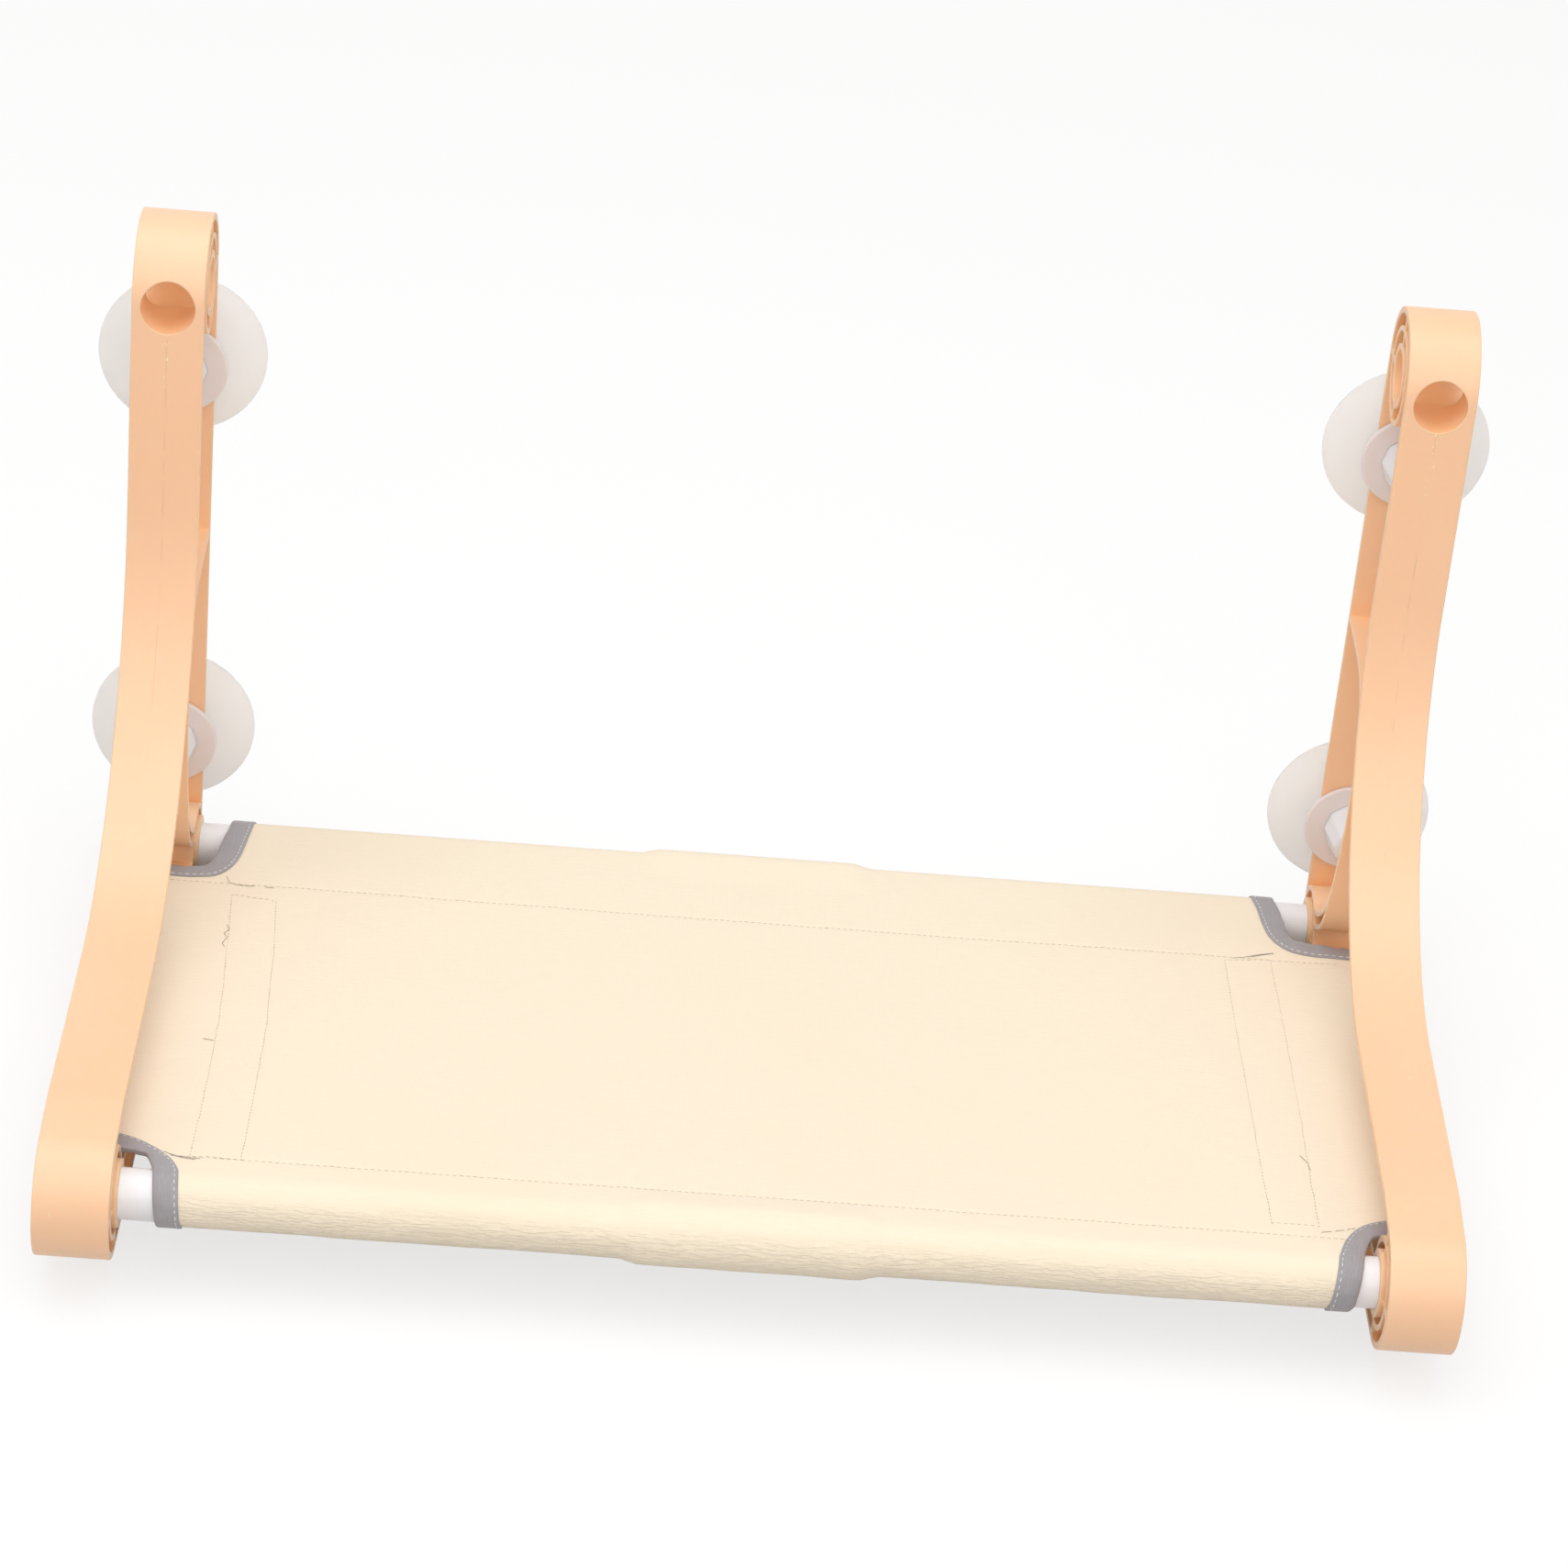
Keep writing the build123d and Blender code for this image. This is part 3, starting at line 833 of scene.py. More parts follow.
    def cut_edge(self, side: Side, row: Row) -> list[EdgePoint]:
        """Follows the cut edge of one corner on the flat cloth, with x positive on both sides.

        Args:
            side: The corner's end of the perch.
            row: The corner's tube.

        Returns:
            The edge's points, from the hem to the panel.
        """
        cut = CORNER_CUTS[side, row]
        front = row is Row.FRONT
        tube, toward = (self.panel_start, 1.0) if front else (self.panel_end, -1.0)
        arc_end, turn = (self.front_arc_start, self.front_turn) if front else (self.rear_arc_end, self.rear_turn)
        fold = arc_end + toward * self.radius * (turn + math.pi / 2 + self.fold_turn)
        way = smooth_way([tuple(value * MM for value in place) for place in cut.way], self.edge_step)
        if front:
            edge = [self.sleeve_point(way[0][0], s) for s in steps(0.0, arc_end, self.edge_step)[:-1]]
        else:
            start = self.span - self.section(arc_end)[0]
            edge = [self.edge_point(x, self.lower(along), inner_x, self.lower(inner_along))
                    for x, along, inner_x, inner_along in reversed(way) if along > start + self.edge_step]
        reach = cut.half * MM
        for s in steps(arc_end, tube, self.edge_step)[:-1]:
            end = tube if (s - fold) * (tube - fold) > 0.0 else arc_end
            edge.append(self.sleeve_point(reach + (way[0][0] - reach) * abs((s - fold) / (end - fold)), s))
        edge += [self.edge_point(x, tube + toward * along, inner_x, tube + toward * inner_along)
                 for x, along, inner_x, inner_along in way]
        return edge

    def lower(self, along: float) -> float:
        """Finds a place on the flap under the rear end of the panel.

        Args:
            along: Distance from the rear tube's axis.

        Returns:
            The length along the cloth there.
        """
        start = self.span - self.section(self.rear_arc_end)[0]
        share = (along - start) / (self.rear_seam - start)
        return self.rear_arc_end + share * (self.rear_hem_start - self.rear_arc_end)

    def sleeve_point(self, x: float, s: float) -> EdgePoint:
        """Returns a point of the cut edge where it goes straight round a tube."""
        return EdgePoint(x, s, -1.0, 0.0, self.sleeve_tape, self.least_loose)

    def edge_point(self, x: float, s: float, inner_x: float, inner_s: float) -> EdgePoint:
        """Makes a point of the cut edge where it curves.

        Args:
            x: Distance across the perch.
            s: Length along the cloth.
            inner_x: Distance across the perch of the other edge of the tape.
            inner_s: Length along the cloth of the other edge of the tape.

        Returns:
            The point.
        """
        width = math.hypot(inner_x - x, inner_s - s)
        to_x, to_s = (inner_x - x) / width, (inner_s - s) / width
        loose = self.least_loose + (1.0 - self.least_loose) * min(1.0, 1.3 * abs(to_s))
        return EdgePoint(x, s, to_x, to_s, width, loose)

    def outline(self) -> list[Pair]:
        """Follows the cut edge of the flat cloth, counterclockwise.

        Returns:
            Its points, as x and s.
        """
        ways = {}
        for side in Side:
            front = [(point.x, point.s) for point in self.edges[side, Row.FRONT]]
            rear = [(point.x, point.s) for point in reversed(self.edges[side, Row.REAR])]
            straight = [(self.half_width, s) for s in steps(front[-1][1], rear[0][1], self.edge_step)[1:-1]]
            end = [(self.half_width, s) for s in steps(rear[-1][1], self.length, self.edge_step)[1:]]
            ways[side] = front + straight + rear + end
        right, left = ways[Side.RIGHT], [(-x, s) for x, s in reversed(ways[Side.LEFT])]
        bottom = [(x, 0.0) for x in steps(left[-1][0], right[0][0], self.edge_step)[1:-1]]
        top = [(x, self.length) for x in steps(right[-1][0], left[0][0], self.edge_step)[1:-1]]
        return bottom + right + top + left

    def limit(self, side: Side, s: float) -> float:
        """Finds how far the flat cloth reaches.

        Args:
            side: The end of the perch that it reaches to.
            s: Length along the cloth.

        Returns:
            The x of the cut edge there, positive on both sides.
        """
        near = 1.5 * self.edge_step
        edge = self.edges[side, Row.FRONT] + self.edges[side, Row.REAR]
        return min([self.half_width] + [point.x for point in edge if abs(point.s - s) <= near])


def clamp(value: float) -> float:
    """Returns a value held between 0 and 1."""
    return max(0.0, min(1.0, value))


def uneven(*place: float) -> float:
    """Returns smooth noise, from -1 to 1, at a place given by its three coordinates."""
    return noise.noise(Vector(place))


def side_of(x: float) -> Side:
    """Returns the side of the perch that an x lies on."""
    return Side.LEFT if x < 0.0 else Side.RIGHT


def steps(start: float, end: float, step: float) -> list[float]:
    """Returns even places from start to end, about a step apart, both ends with them."""
    count = max(1, round(abs(end - start) / abs(step)))
    return [start + (end - start) * index / count for index in range(count + 1)]


def smooth_way(places: list[Quad], step: float) -> list[Quad]:
    """Lays a smooth way through places, as a Catmull-Rom spline.

    Args:
        places: The places that it goes through.
        step: About how far apart its points are.

    Returns:
        Its points.
    """
    padded = [places[0], *places, places[-1]]
    found = [places[0]]
    for before, first, second, after in zip(padded, padded[1:], padded[2:], padded[3:]):
        for share in steps(0.0, 1.0, step / math.dist(first[:2], second[:2]))[1:]:
            found.append(tuple(
                0.5 * (2 * q + (r - p) * share + (2 * p - 5 * q + 4 * r - t) * share**2
                       + (3 * q - p - 3 * r + t) * share**3)
                for p, q, r, t in zip(before, first, second, after)
            ))
    return found


def flat_area(outline: list[Pair]) -> float:
    """Returns the area inside a closed outline."""
    following = outline[1:] + outline[:1]
    return abs(sum(x * t - y * s for (x, s), (y, t) in zip(outline, following))) / 2


def ring_faces(rings: int, count: int) -> list[tuple[int, ...]]:
    """Lays a skin over rings of points, open at both ends.

    Args:
        rings: The number of rings.
        count: The number of points in each.

    Returns:
        The skin's faces.
    """
    faces = []
    for here in range(0, (rings - 1) * count, count):
        for index in range(count):
            after, there = (index + 1) % count, here + count
            faces.append((here + index, here + after, there + after, there + index))
    return faces


def hang(name: str, data: bpy.types.ID) -> Piece:
    """Puts a mesh, a lamp or a camera into the scene.

    Args:
        name: The new object's name.
        data: What it shows.

    Returns:
        The new object.
    """
    thing = bpy.data.objects.new(name, data)
    bpy.context.scene.collection.objects.link(thing)
    if isinstance(data, bpy.types.Mesh):
        LOG.info("%s: %d faces", name, len(data.polygons))
    return thing


def new_piece(name: str, points: list[Vector], faces: list[tuple[int, ...]], material: Material,
              flat: list[Pair] | None = None) -> Piece:
    """Makes a smooth mesh piece.

    Args:
        name: The piece's name.
        points: Its points in the perch's frame.
        faces: Its faces, as indices of points.
        material: Its finish.
        flat: A place on the flat cloth for each point, kept as a UV map in metres.

    Returns:
        The new object.
    """
    mesh = bpy.data.meshes.new(name)
    mesh.from_pydata(points, [], faces)
    mesh.materials.append(material)
    mesh.shade_smooth()
    if flat is not None:
        layer = mesh.uv_layers.new(name="flat")
        for loop in mesh.loops:
            layer.data[loop.index].uv = flat[loop.vertex_index]
    return hang(name, mesh)


@dataclass
class StitchRows:
    """Rows of machine stitches, laid along paths by one node tree."""

    name: str
    pitch: float
    share: float
    thickness: float
    tree: Tree = field(init=False)

    def __post_init__(self) -> None:
        """Builds the tree: a stitch on each step of each path."""
        self.tree = bpy.data.node_groups.new(self.name, "GeometryNodeTree")
        kinds = {
            "Paths": "NodeSocketGeometry", "Pitch": "NodeSocketFloat", "Stitch Length": "NodeSocketFloat",
            "Thickness": "NodeSocketFloat", "Thread": "NodeSocketMaterial", "Seed": "NodeSocketInt",
        }
        for socket, kind in kinds.items():
            self.tree.interface.new_socket(socket, in_out="INPUT", socket_type=kind)
        self.tree.interface.new_socket("Stitches", in_out="OUTPUT", socket_type="NodeSocketGeometry")
        nodes = Nodes(self.tree)
        given = nodes.add("NodeGroupInput").outputs
        curve = nodes.add("GeometryNodeMeshToCurve", {0: given["Paths"]}).outputs[0]
        points = nodes.add("GeometryNodeResampleCurve", {"Curve": curve, "Length": given["Pitch"]}, mode="LENGTH")
        ball = nodes.add("GeometryNodeMeshUVSphere", {"Segments": 8, "Rings": 4, "Radius": 0.5}).outputs[0]
        thickness = given["Thickness"]
        size = nodes.add("ShaderNodeCombineXYZ", {0: given["Stitch Length"], 1: thickness, 2: thickness}).outputs[0]
        stitch = nodes.add("GeometryNodeTransform", {"Geometry": ball, "Scale": size}).outputs[0]
        tangent = nodes.add("GeometryNodeInputTangent").outputs[0]
        turn = nodes.add("FunctionNodeAlignRotationToVector", {"Vector": tangent}, axis="X").outputs[0]
        spread = nodes.add("FunctionNodeRandomValue", {2: 0.82, 3: 1.1, "Seed": given["Seed"]}, data_type="FLOAT")
        placed = nodes.add("GeometryNodeInstanceOnPoints", {
            "Points": points.outputs[0], "Instance": stitch, "Rotation": turn, "Scale": spread.outputs[1],
        })
        real = nodes.add("GeometryNodeRealizeInstances", {0: placed.outputs[0]}).outputs[0]
        smooth = nodes.add("GeometryNodeSetShadeSmooth", {0: real}).outputs[0]
        dressed = nodes.add("GeometryNodeSetMaterial", {"Geometry": smooth, "Material": given["Thread"]}).outputs[0]
        nodes.add("NodeGroupOutput", {0: dressed})

    def sew(self, name: str, paths: list[list[Vector]], thread: Material, seed: int) -> Piece:
        """Sews stitches along paths and turns them into one plain mesh.

        Args:
            name: The piece's name.
            paths: Each path's points, in the perch's frame.
            thread: The thread's material.
            seed: Seed for the stitches' unevenness.

        Returns:
            The new object.
        """
        mesh = bpy.data.meshes.new(name)
        points = [point for path in paths for point in path]
        edges, first = [], 0
        for path in paths:
            edges += [(first + index, first + index + 1) for index in range(len(path) - 1)]
            first += len(path)
        mesh.from_pydata(points, edges, [])
        carrier = hang(name + "_paths", mesh)
        modifier = carrier.modifiers.new("stitches", "NODES")
        modifier.node_group = self.tree
        values = {
            "Pitch": self.pitch, "Stitch Length": self.pitch * self.share, "Thickness": self.thickness,
            "Thread": thread, "Seed": seed,
        }
        for item in self.tree.interface.items_tree:
            if item.in_out == "INPUT" and item.name in values:
                modifier[item.identifier] = values[item.name]
        sewn = bpy.data.meshes.new_from_object(carrier.evaluated_get(bpy.context.evaluated_depsgraph_get()))
        sewn.name = name
        bpy.data.objects.remove(carrier)
        return hang(name, sewn)


@dataclass
class Sling:
    """The canvas sling with its taped corners, its strips and its stitching."""

    shape: SlingShape
    canvas: Material
    tape: Material
    cream_thread: Material
    white_thread: Material
    grey_thread: Material
    grid: float = 3.4 * MM
    arc_grid: float = 1.5 * MM
    fine_grid: float = 1.1 * MM
    tape_thickness: float = 0.7 * MM
    inner_tape_thickness: float = 0.3 * MM
    tape_wave: float = 0.6 * MM
    tape_bunch: float = 1.3 * MM
    tape_inset: float = 1.4 * MM
    tape_fold: float = 0.9 * MM
    strip_zone: Pair = (192.5 * MM, 223.0 * MM)
    strip_grid: float = 1.5 * MM
    strip_step: float = 2.5 * MM
    strip_columns: int = 8
    strip_thickness: float = 0.9 * MM
    strip_hem: float = 2.5 * MM
    rear_slant: float = 3.4 * MM
    slant_run: float = 12.0 * MM
    sewing_step: float = 3.0 * MM
    seam_drift: float = 0.5 * MM
    strip_drift: float = 0.4 * MM
    tape_drift: float = 0.3 * MM
    loose_lift: float = 0.15 * MM
    spare: float = 0.1 * MM
    gap: float = 0.02 * MM
    area: float = field(init=False, default=0.0)

    def rows(self) -> list[float]:
        """Works out where the mesh has its rows, closer at bends and seams.

        Returns:
            Lengths along the cloth.
        """
        shape = self.shape
        bends = (shape.front_arc_start, shape.panel_start, shape.panel_end, shape.rear_arc_end)
        found = steps(0.0, bends[0], self.arc_grid)[1:-1]
        found += steps(bends[0], bends[1], self.arc_grid)
        found += steps(bends[1], bends[2], self.grid)[1:-1]
        found += steps(bends[2], bends[3], self.arc_grid)
        found += steps(bends[3], shape.length, self.grid)[1:-1]
        lines = (shape.panel_start + shape.front_seam, shape.panel_end - shape.rear_seam)
        kept = [place for place in found if all(abs(place - line) > 3.0 * self.fine_grid for line in lines)]
        return sorted(kept + [line + index * self.fine_grid for line in lines for index in range(-3, 4)])

    def columns(self) -> list[float]:
        """Works out where the mesh has its columns, closer at the strips' stitched lines.

        Returns:
            Their x.
        """
        near, far = self.strip_zone
        found = steps(-near, near, self.grid)
        for side in Side:
            found += [side.value * x for x in steps(near, far, self.strip_grid)[1:]]
            found += [side.value * x for x in steps(far, self.shape.half_width, self.grid)[1:]]
        return sorted(found)

    def cloth(self) -> Piece:
        """Cuts the flat cloth, sews it round the tubes and gives it its thickness.

        Returns:
            The piece.
        """
        shape = self.shape
        edge = shape.outline()
        margin = 0.8 * self.arc_grid
        columns = self.columns()
        inside = []
        for s in self.rows():
            left, right = shape.limit(Side.LEFT, s) - margin, shape.limit(Side.RIGHT, s) - margin
            inside += [(x, s) for x in columns if -left < x < right]
        count = len(edge)
        loop = [(index, (index + 1) % count) for index in range(count)]
        points, _, faces = delaunay_2d_cdt([Vector(p) for p in edge + inside], loop, [], 1, 1e-6)[:3]
        flat = [(point.x, point.y) for point in points]
        piece = new_piece("sling_cloth", [shape.place(x, s) for x, s in flat], faces, self.canvas, flat)
        solid = piece.modifiers.new("thickness", "SOLIDIFY")
        solid.thickness = shape.cloth
        solid.offset = 0.0
        solid.use_rim = True
        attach(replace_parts(piece, "sling"), BODY)
        self.area = flat_area(edge)
        return piece

    def tape_section(self) -> list[tuple[float, float, float]]:
        """Draws the section of the tape that is folded over the cut edge.

        Returns:
            Its points: share of the tape's width, shift into the cloth, height over the cloth's middle.
        """
        half, gap, fold = self.shape.cloth / 2, self.gap, self.tape_fold
        outer, inner = half + self.tape_thickness, half + self.inner_tape_thickness
        return [
            (1.0, 0.0, half + gap), (1.0, 0.0, outer - 0.15 * MM), (1.0, -0.3 * MM, outer),
            (0.75, 0.0, outer), (0.5, 0.0, outer), (0.25, 0.0, outer), (0.0, 0.0, outer),
            (0.0, -0.7 * fold, 0.75 * outer), (0.0, -fold, 0.2 * outer), (0.0, -fold, -0.3 * inner),
            (0.0, -0.6 * fold, -inner), (0.3, 0.0, -inner), (0.65, 0.0, -inner),
            (1.0, 0.0, -inner), (1.0, 0.0, -half - gap), (0.5, 0.0, -half - gap),
            (0.0, -gap, -half - gap), (0.0, -gap, half + gap), (0.5, 0.0, half + gap),
        ]

    def corner_tape(self, side: Side, row: Row) -> Piece:
        """Folds the tape over the cut edge of one corner, bunched where the edge bends.

        Args:
            side: The corner's end of the perch.
            row: The corner's tube.

        Returns:
            The piece.
        """
        section = self.tape_section()
        edge = self.shape.edges[side, row]
        seed = side.value * 5.0 + (9.0 if row is Row.REAR else 0.0)
        points, flat = [], []
        for index, point in enumerate(edge):
            crease = max(0.0, uneven(index * 0.31, seed, 0.0))
            bunch = 0.5 + uneven(index * 0.15, seed, 4.0)
            for share, shift, lift in section:
                free = point.loose * (1.0 - share)
                if share < 0.6 and abs(lift) > self.shape.cloth / 2 + self.spare:
                    lift += math.copysign(crease * self.tape_wave * free, lift)
                    shift -= bunch * self.tape_bunch * free * (share < 0.1)
                depth = share * point.width + shift
                points.append(self.shape.place(*point.inward(side, depth), lift))
                flat.append((index * MM, depth))
        count, last = len(section), (len(edge) - 1) * len(section)
        ends = [tuple(reversed(range(count))), tuple(range(last, last + count))]
        name = f"{row.value}_{side.name.lower()}_corner"
        piece = new_piece(name + "_tape", points, ring_faces(len(edge), count) + ends, self.tape, flat)
        close_outwards(piece)
        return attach(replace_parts(piece, name + "_binding"), BODY)

    def tape_path(self, side: Side, row: Row) -> list[Vector]:
        """Lays the line of stitches near the cloth side of one corner's tape.

        Args:
            side: The corner's end of the perch.
            row: The corner's tube.

        Returns:
            The line's points.
        """
        lift = self.shape.cloth / 2 + self.tape_thickness + self.spare
        path = []
        for index, point in enumerate(self.shape.edges[side, row][2:-2]):
            drift = self.tape_drift * uneven(index * 0.11, 2.0, side.value * 3.0)
            path.append(self.shape.place(*point.inward(side, point.width - self.tape_inset + drift), lift))
        return path

    def strip_ends(self, side: Side) -> Pair:
        """Returns the lengths along the cloth where a strip's stitched lines end."""
        return tuple(self.shape.panel_start + STRIP_LINES[side][end][0] * MM for end in (0, -1))

    def strip(self, side: Side) -> Piece:
        """Lays one strip of canvas under the panel.

        Args:
            side: The strip's end of the perch.

        Returns:
            The piece.
        """
        shape, hem = self.shape, self.strip_hem
        front, rear = self.strip_ends(side)
        top = -shape.cloth / 2 - self.inner_tape_thickness - self.spare
        stations = steps(max(front, shape.panel_start + shape.front_seam) + hem, rear + hem, self.strip_step)
        points, flat = [], []
        for s in stations:
            inner, outer = shape.strip_lines(side, s)
            across = steps(inner - hem, outer + hem, (outer - inner + 2 * hem) / self.strip_columns)
            for x, lift in [(x, top) for x in across] + [(x, top - self.strip_thickness) for x in reversed(across)]:
                points.append(shape.place(side.value * x, s, lift))
                flat.append((x, s))
        count = 2 * (self.strip_columns + 1)
        last = (len(stations) - 1) * count
        faces = ring_faces(len(stations), count)
        for here, below in zip(range(self.strip_columns), range(count - 1, 0, -1)):
            faces.append((here + 1, here, below, below - 1))
            faces.append((last + here, last + here + 1, last + below - 1, last + below))
        name = f"{side.name.lower()}_reinforcing_strip"
        piece = new_piece(name + "_cloth", points, faces, self.canvas, flat)
        close_outwards(piece)
        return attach(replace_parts(piece, name), BODY)

    def seam_path(self, s: float, spare: float) -> list[Vector]:
        """Lays a seam's slightly wandering line across the panel, from tape to tape.

        Args:
            s: Length along the cloth.
            spare: What is left free beside the tapes.

        Returns:
            The line's points.
        """
        shape = self.shape
        left, right = (shape.limit(side, s) - shape.sleeve_tape - spare for side in Side)
        line = []
        for x in steps(-left, right, self.sewing_step):
            drift = self.seam_drift * uneven(x * 18.0, s * 9.0, 0.0)
            line.append(shape.place(x, s + drift, shape.cloth / 2 + self.gap))
        return line

    def strip_path(self, side: Side) -> list[Vector]:
        """Lays the closed line of stitches that holds one strip.

        Args:
            side: The strip's end of the perch.

        Returns:
            The line's points.
        """
        shape, step = self.shape, self.sewing_step
        front, rear = self.strip_ends(side)
        stations = steps(front, rear, step)
        inner = [(shape.strip_lines(side, s)[0], s) for s in stations]
        outer = [(shape.strip_lines(side, s)[1], s) for s in reversed(stations)]
        width = outer[0][0] - inner[-1][0]
        rear_end = [(inner[-1][0] + x, rear + self.rear_slant * x / width) for x in steps(0.0, width, step)[1:-1]]
        outer = [(x, s + self.rear_slant * max(0.0, 1.0 - (rear - s) / self.slant_run)) for x, s in outer]
        front_end = [(x, front) for x in steps(outer[-1][0], inner[0][0], step)[1:]]
        line = []
        for index, (x, s) in enumerate(inner + rear_end + outer + front_end):
            drift = self.strip_drift * uneven(index * 0.31, side.value * 2.0, 7.0)
            line.append(shape.place(side.value * (x + drift), s + drift, shape.cloth / 2 + self.gap))
        return line

    def thread_end(self, way: tuple[Pair, ...]) -> list[Vector]:
        """Lays one loose end of thread on the panel.

        Args:
            way: Its corners, as in THREAD_ENDS.

        Returns:
            Its points.
        """
        lift = self.shape.cloth / 2 + self.loose_lift
        line = []
        for (x, along), (next_x, next_along) in zip(way, way[1:]):
            for share in steps(0.0, 1.0, 0.25)[:-1]:
                at_x, at_along = x + (next_x - x) * share, along + (next_along - along) * share
                line.append(self.shape.place(at_x * MM, self.shape.panel_start + at_along * MM, lift))
        return line

    def stitching(self) -> list[Piece]:
        """Sews the seams, the strips and the tapes, and leaves the loose ends of thread.

        Returns:
            The pieces of thread.
        """
        shape = self.shape
        seams = StitchRows("seam_stitches", pitch=2.6 * MM, share=0.8, thickness=0.32 * MM)
        front = self.seam_path(shape.panel_start + shape.front_seam, 0.5 * MM)
        rear = self.seam_path(shape.panel_end - shape.rear_seam, 2.0 * MM)
        sewn = [
            seams.sew("seam_thread", [front, rear], self.cream_thread, 3),
            seams.sew("strip_thread", [self.strip_path(side) for side in Side], self.cream_thread, 5),
        ]
        tapes = StitchRows("tape_stitches", pitch=3.0 * MM, share=0.75, thickness=0.45 * MM)
        paths = [self.tape_path(side, row) for side in Side for row in Row]
        sewn.append(tapes.sew("tape_thread", paths, self.white_thread, 7))
        ends = StitchRows("thread_ends", pitch=1.1 * MM, share=1.7, thickness=0.28 * MM)
        sewn.append(ends.sew("loose_thread_ends", [self.thread_end(end) for end in THREAD_ENDS], self.grey_thread, 9))
        for piece, slot in zip(sewn, ("canvas", "canvas", "grey_tape", "canvas")):
            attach(piece, BODY)
        return sewn

    def build(self) -> None:
        cloth = self.cloth()
        with_it = [self.corner_tape(side, row) for side in Side for row in Row]
        with_it += [self.strip(side) for side in Side] + self.stitching()
        tubes = [f"{row.value}_{side.name.lower()}_tube" for side in Side for row in Row]


def close_outwards(piece: Piece) -> None:
    """Merges a closed mesh's doubles and turns its faces outwards.

    Args:
        piece: The mesh piece.
    """
    shell = bmesh.new()
    shell.from_mesh(piece.data)
    bmesh.ops.remove_doubles(shell, verts=shell.verts, dist=0.000001)
    bmesh.ops.recalc_face_normals(shell, faces=shell.faces)
    shell.to_mesh(piece.data)
    shell.free()


# The hard pieces


@dataclass
class HardPieces:
    """The solids that show as they are, each with its finish."""

    finishes: dict[str, Material]

    def dress(self) -> None:
        """Gives each solid the finish whose key ends its name."""
        for name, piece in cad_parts.items():
            for ending, material in self.finishes.items():
                if name.endswith(ending):
                    piece.data.materials.clear()
                    piece.data.materials.append(material)
                    LOG.info("%s: %s", name, material.name)


# The studio


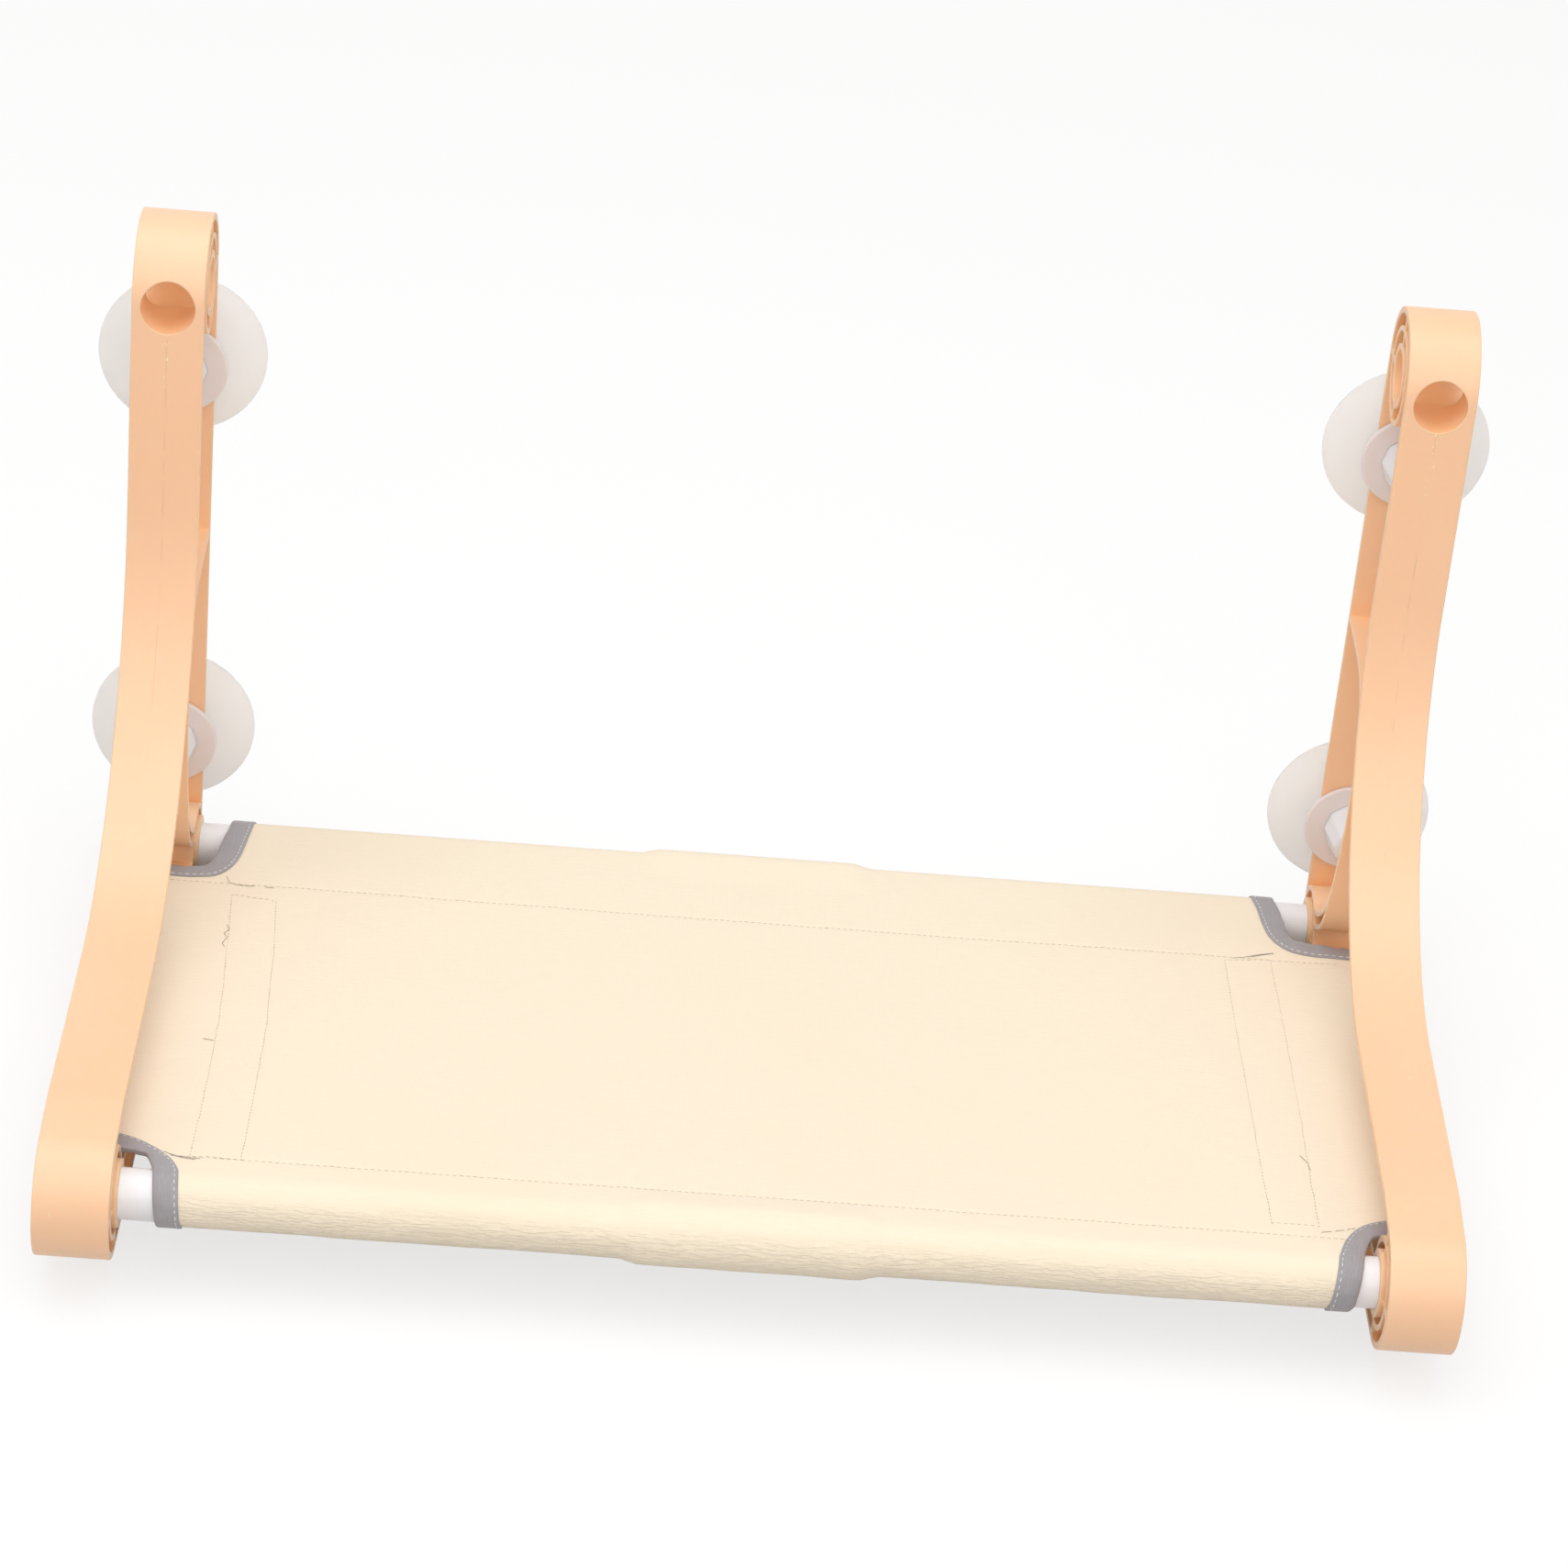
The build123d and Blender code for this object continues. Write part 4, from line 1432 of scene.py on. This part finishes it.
@dataclass
class Studio:
    """Camera, lamps, world and floor."""

    photo_side: int = 1709
    focal_pixels: float = 5486.1
    sensor: float = 36.0
    eye: Colour = (-0.07006, -1.90306, 0.98113)
    right: Colour = (0.99655999, 0.00502509, 0.08272204)
    above: Colour = (-0.07441323, 0.4936419, 0.86647582)
    lamp_power: float = 26.0
    world_tint: Colour = (1.0, 0.99, 0.975)
    world_strength: float = 0.58
    floor_shade: float = 0.6
    seen_floor_shade: float = 0.95
    shadow_share: float = 0.28
    floor_half: float = 4.0
    floor_gap: float = 0.5 * MM
    middle: Colour = (0.0, -0.15, 0.0)

    def camera(self) -> None:
        """Places the camera where the photograph was taken from."""
        data = bpy.data.cameras.new("camera")
        data.sensor_width = self.sensor
        data.lens = self.focal_pixels * self.sensor / self.photo_side
        data.clip_end = 20.0
        camera = hang("camera", data)
        right, above = Vector(self.right), Vector(self.above)
        turn = Matrix((right, above, right.cross(above))).transposed().to_4x4()
        camera.matrix_world = Matrix.Translation(self.eye) @ turn
        bpy.context.scene.camera = camera

    def lamp(self, name: str, place: Colour, side: float, share: float, tint: Colour) -> None:
        """Hangs a square soft lamp that faces the middle of the perch.

        Args:
            name: The lamp's name.
            place: Where it hangs.
            side: The length of its side.
            share: Its part of the lamps' power.
            tint: The colour of its light.
        """
        data = bpy.data.lights.new(name, "AREA")
        data.size = side
        data.color = tint
        data.energy = self.lamp_power * share
        lamp = hang(name, data)
        lamp.location = place
        lamp.rotation_euler = (Vector(self.middle) - Vector(place)).to_track_quat("-Z", "Y").to_euler()

    def looked_at(self, nodes: Nodes) -> Socket:
        """Tells what is looked at from what only lights.

        Args:
            nodes: The nodes of a material or the world.

        Returns:
            1 where the camera, a reflection or a see-through piece looks, and 0 for plain light.
        """
        path = nodes.add("ShaderNodeLightPath").outputs
        seen = nodes.math("MAXIMUM", path["Is Camera Ray"], path["Is Transmission Ray"])
        return nodes.math("MAXIMUM", seen, path["Is Glossy Ray"])

    def world(self) -> None:
        """Fills the room with even light, plain white where it is looked at."""
        world = bpy.data.worlds.new("studio")
        world.use_nodes = True
        nodes = Nodes(world.node_tree)
        background = world.node_tree.nodes["Background"]
        nodes.feed(background, {"Color": colour4(self.world_tint), "Strength": self.world_strength})
        white = nodes.add("ShaderNodeBackground", {"Color": colour4((1.0, 1.0, 1.0))})
        shares = {0: self.looked_at(nodes), 1: background.outputs[0], 2: white.outputs[0]}
        mixed = nodes.add("ShaderNodeMixShader", shares).outputs[0]
        nodes.feed(world.node_tree.nodes["World Output"], {"Surface": mixed})
        bpy.context.scene.world = world

    def floor(self) -> None:
        """Lays a pale floor under the perch, white to the camera but for the perch's soft shadow."""
        low, half = cad_bounds[0].z - self.floor_gap, self.floor_half
        corners = [Vector((x * half, y * half, low)) for x, y in ((-1, -1), (1, -1), (1, 1), (-1, 1))]
        shade = (self.floor_shade,) * 3
        material, nodes, shader = Finish("floor", shade, 0.9).surface()
        seen = self.looked_at(nodes)
        nodes.feed(shader, {"Base Color": nodes.mix(seen, shade, (self.seen_floor_shade,) * 3)})
        glow = nodes.add("ShaderNodeEmission").outputs[0]
        share = nodes.product(seen, 1.0 - self.shadow_share)
        mixed = nodes.add("ShaderNodeMixShader", {0: share, 1: shader.outputs[0], 2: glow}).outputs[0]
        nodes.feed(material.node_tree.nodes["Material Output"], {"Surface": mixed})
        new_piece("floor", corners, [(0, 1, 2, 3)], material)

    def build(self) -> None:
        """Sets up the whole studio."""
        bpy.context.scene.view_settings.view_transform = "Standard"
        self.camera()
        self.lamp("top_lamp", (-0.2, -0.4, 2.2), 2.2, 1.1, (0.97, 0.98, 1.0))
        self.lamp("front_lamp", (0.1, -2.3, 1.5), 1.8, 0.62, (1.0, 0.97, 0.94))
        self.lamp("left_lamp", (-1.9, -1.3, 1.2), 1.4, 0.15, (1.0, 0.97, 0.92))
        self.lamp("right_lamp", (1.9, -1.3, 1.2), 1.4, 0.15, (1.0, 0.97, 0.92))
        self.world()
        self.floor()


def finishes(skin: Tree) -> dict[str, Material]:
    """Makes the finish of each kind of hard piece.

    Args:
        skin: The group of moulded plastic.

    Returns:
        Materials by the ending of the solids' names.
    """
    hole_foot = 40.5 * MM  # down from the frame's top
    cup_low, cup_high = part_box("upper_right_suction_cup")
    seam = PartingLine(across=(cup_low.x + cup_high.x) / 2, top=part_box("right_side_frame")[1].z - hole_foot)
    # The peach frames get the painted glow in their holes and pockets.
    peach = MouldedPlastic(
        "peach_plastic", (0.91, 0.58, 0.36), 0.4, deep=(0.90, 0.56, 0.335), shine=0.75, painted_hollow_glow_share=1.0, glow=0.3
    )
    # white colours the painted edge highlight of the pale pieces.
    white = (0.94, 0.94, 0.94)
    pipe = MouldedPlastic("white_pipe", (0.855, 0.87, 0.895), 0.3, deep=(0.83, 0.845, 0.875), grain=300.0, rim_highlight_and_fleck=white)
    pearl = MouldedPlastic(
        "pearl_disc", (0.81, 0.745, 0.735), 0.35, deep=(0.78, 0.71, 0.70), scuffed=(0.88, 0.85, 0.83), rim_highlight_and_fleck=white
    )
    knob = MouldedPlastic(
        "white_knob", (0.85, 0.85, 0.88), 0.25, deep=(0.82, 0.82, 0.85), grain=300.0, rim_highlight_and_fleck=white, rim_radius=2.2 * MM,
        rim_highlight_share=0.3
    )
    vinyl = ClearVinyl("clear_vinyl", (0.97, 0.955, 0.94), 0.3)
    return {
        "side_frame": peach.build(skin, seam),
        "_tube": pipe.build(skin),
        "tube_coupling": pipe.build(skin),
        "clamp_washer": pearl.build(skin),
        "knob_nut": knob.build(skin),
        "cup_stud": knob.build(skin),
        "suction_cup": vinyl.build(skin),
    }


def main() -> None:
    """Builds the studio and dresses every piece of the perch."""
    logging.basicConfig(level=logging.INFO, format="%(name)s %(message)s")
    Studio().build()
    skin, weave = moulded_skin(), plain_weave()
    HardPieces(finishes(skin)).dress()
    shape = SlingShape()
    canvas = WovenCloth(
        "canvas", (0.90, 0.785, 0.615), 0.85, shadow=(0.87, 0.75, 0.57), creased_to=shape.panel_start
    ).build(weave)
    tape = WovenCloth(
        "grey_tape", (0.35, 0.335, 0.35), 0.6, shadow=(0.26, 0.25, 0.275), threads=2200.0, slubs=1500.0
    ).build(weave)
    cream = Thread("cream_thread", (0.56, 0.48, 0.37), 0.7).build()
    grey = Thread("grey_thread", (0.40, 0.36, 0.31), 0.7).build()
    white = Thread("white_thread", (0.88, 0.88, 0.86), 0.7).build()
    Sling(shape, canvas, tape, cream, white, grey).build()


if __name__ == "__main__":
    main()
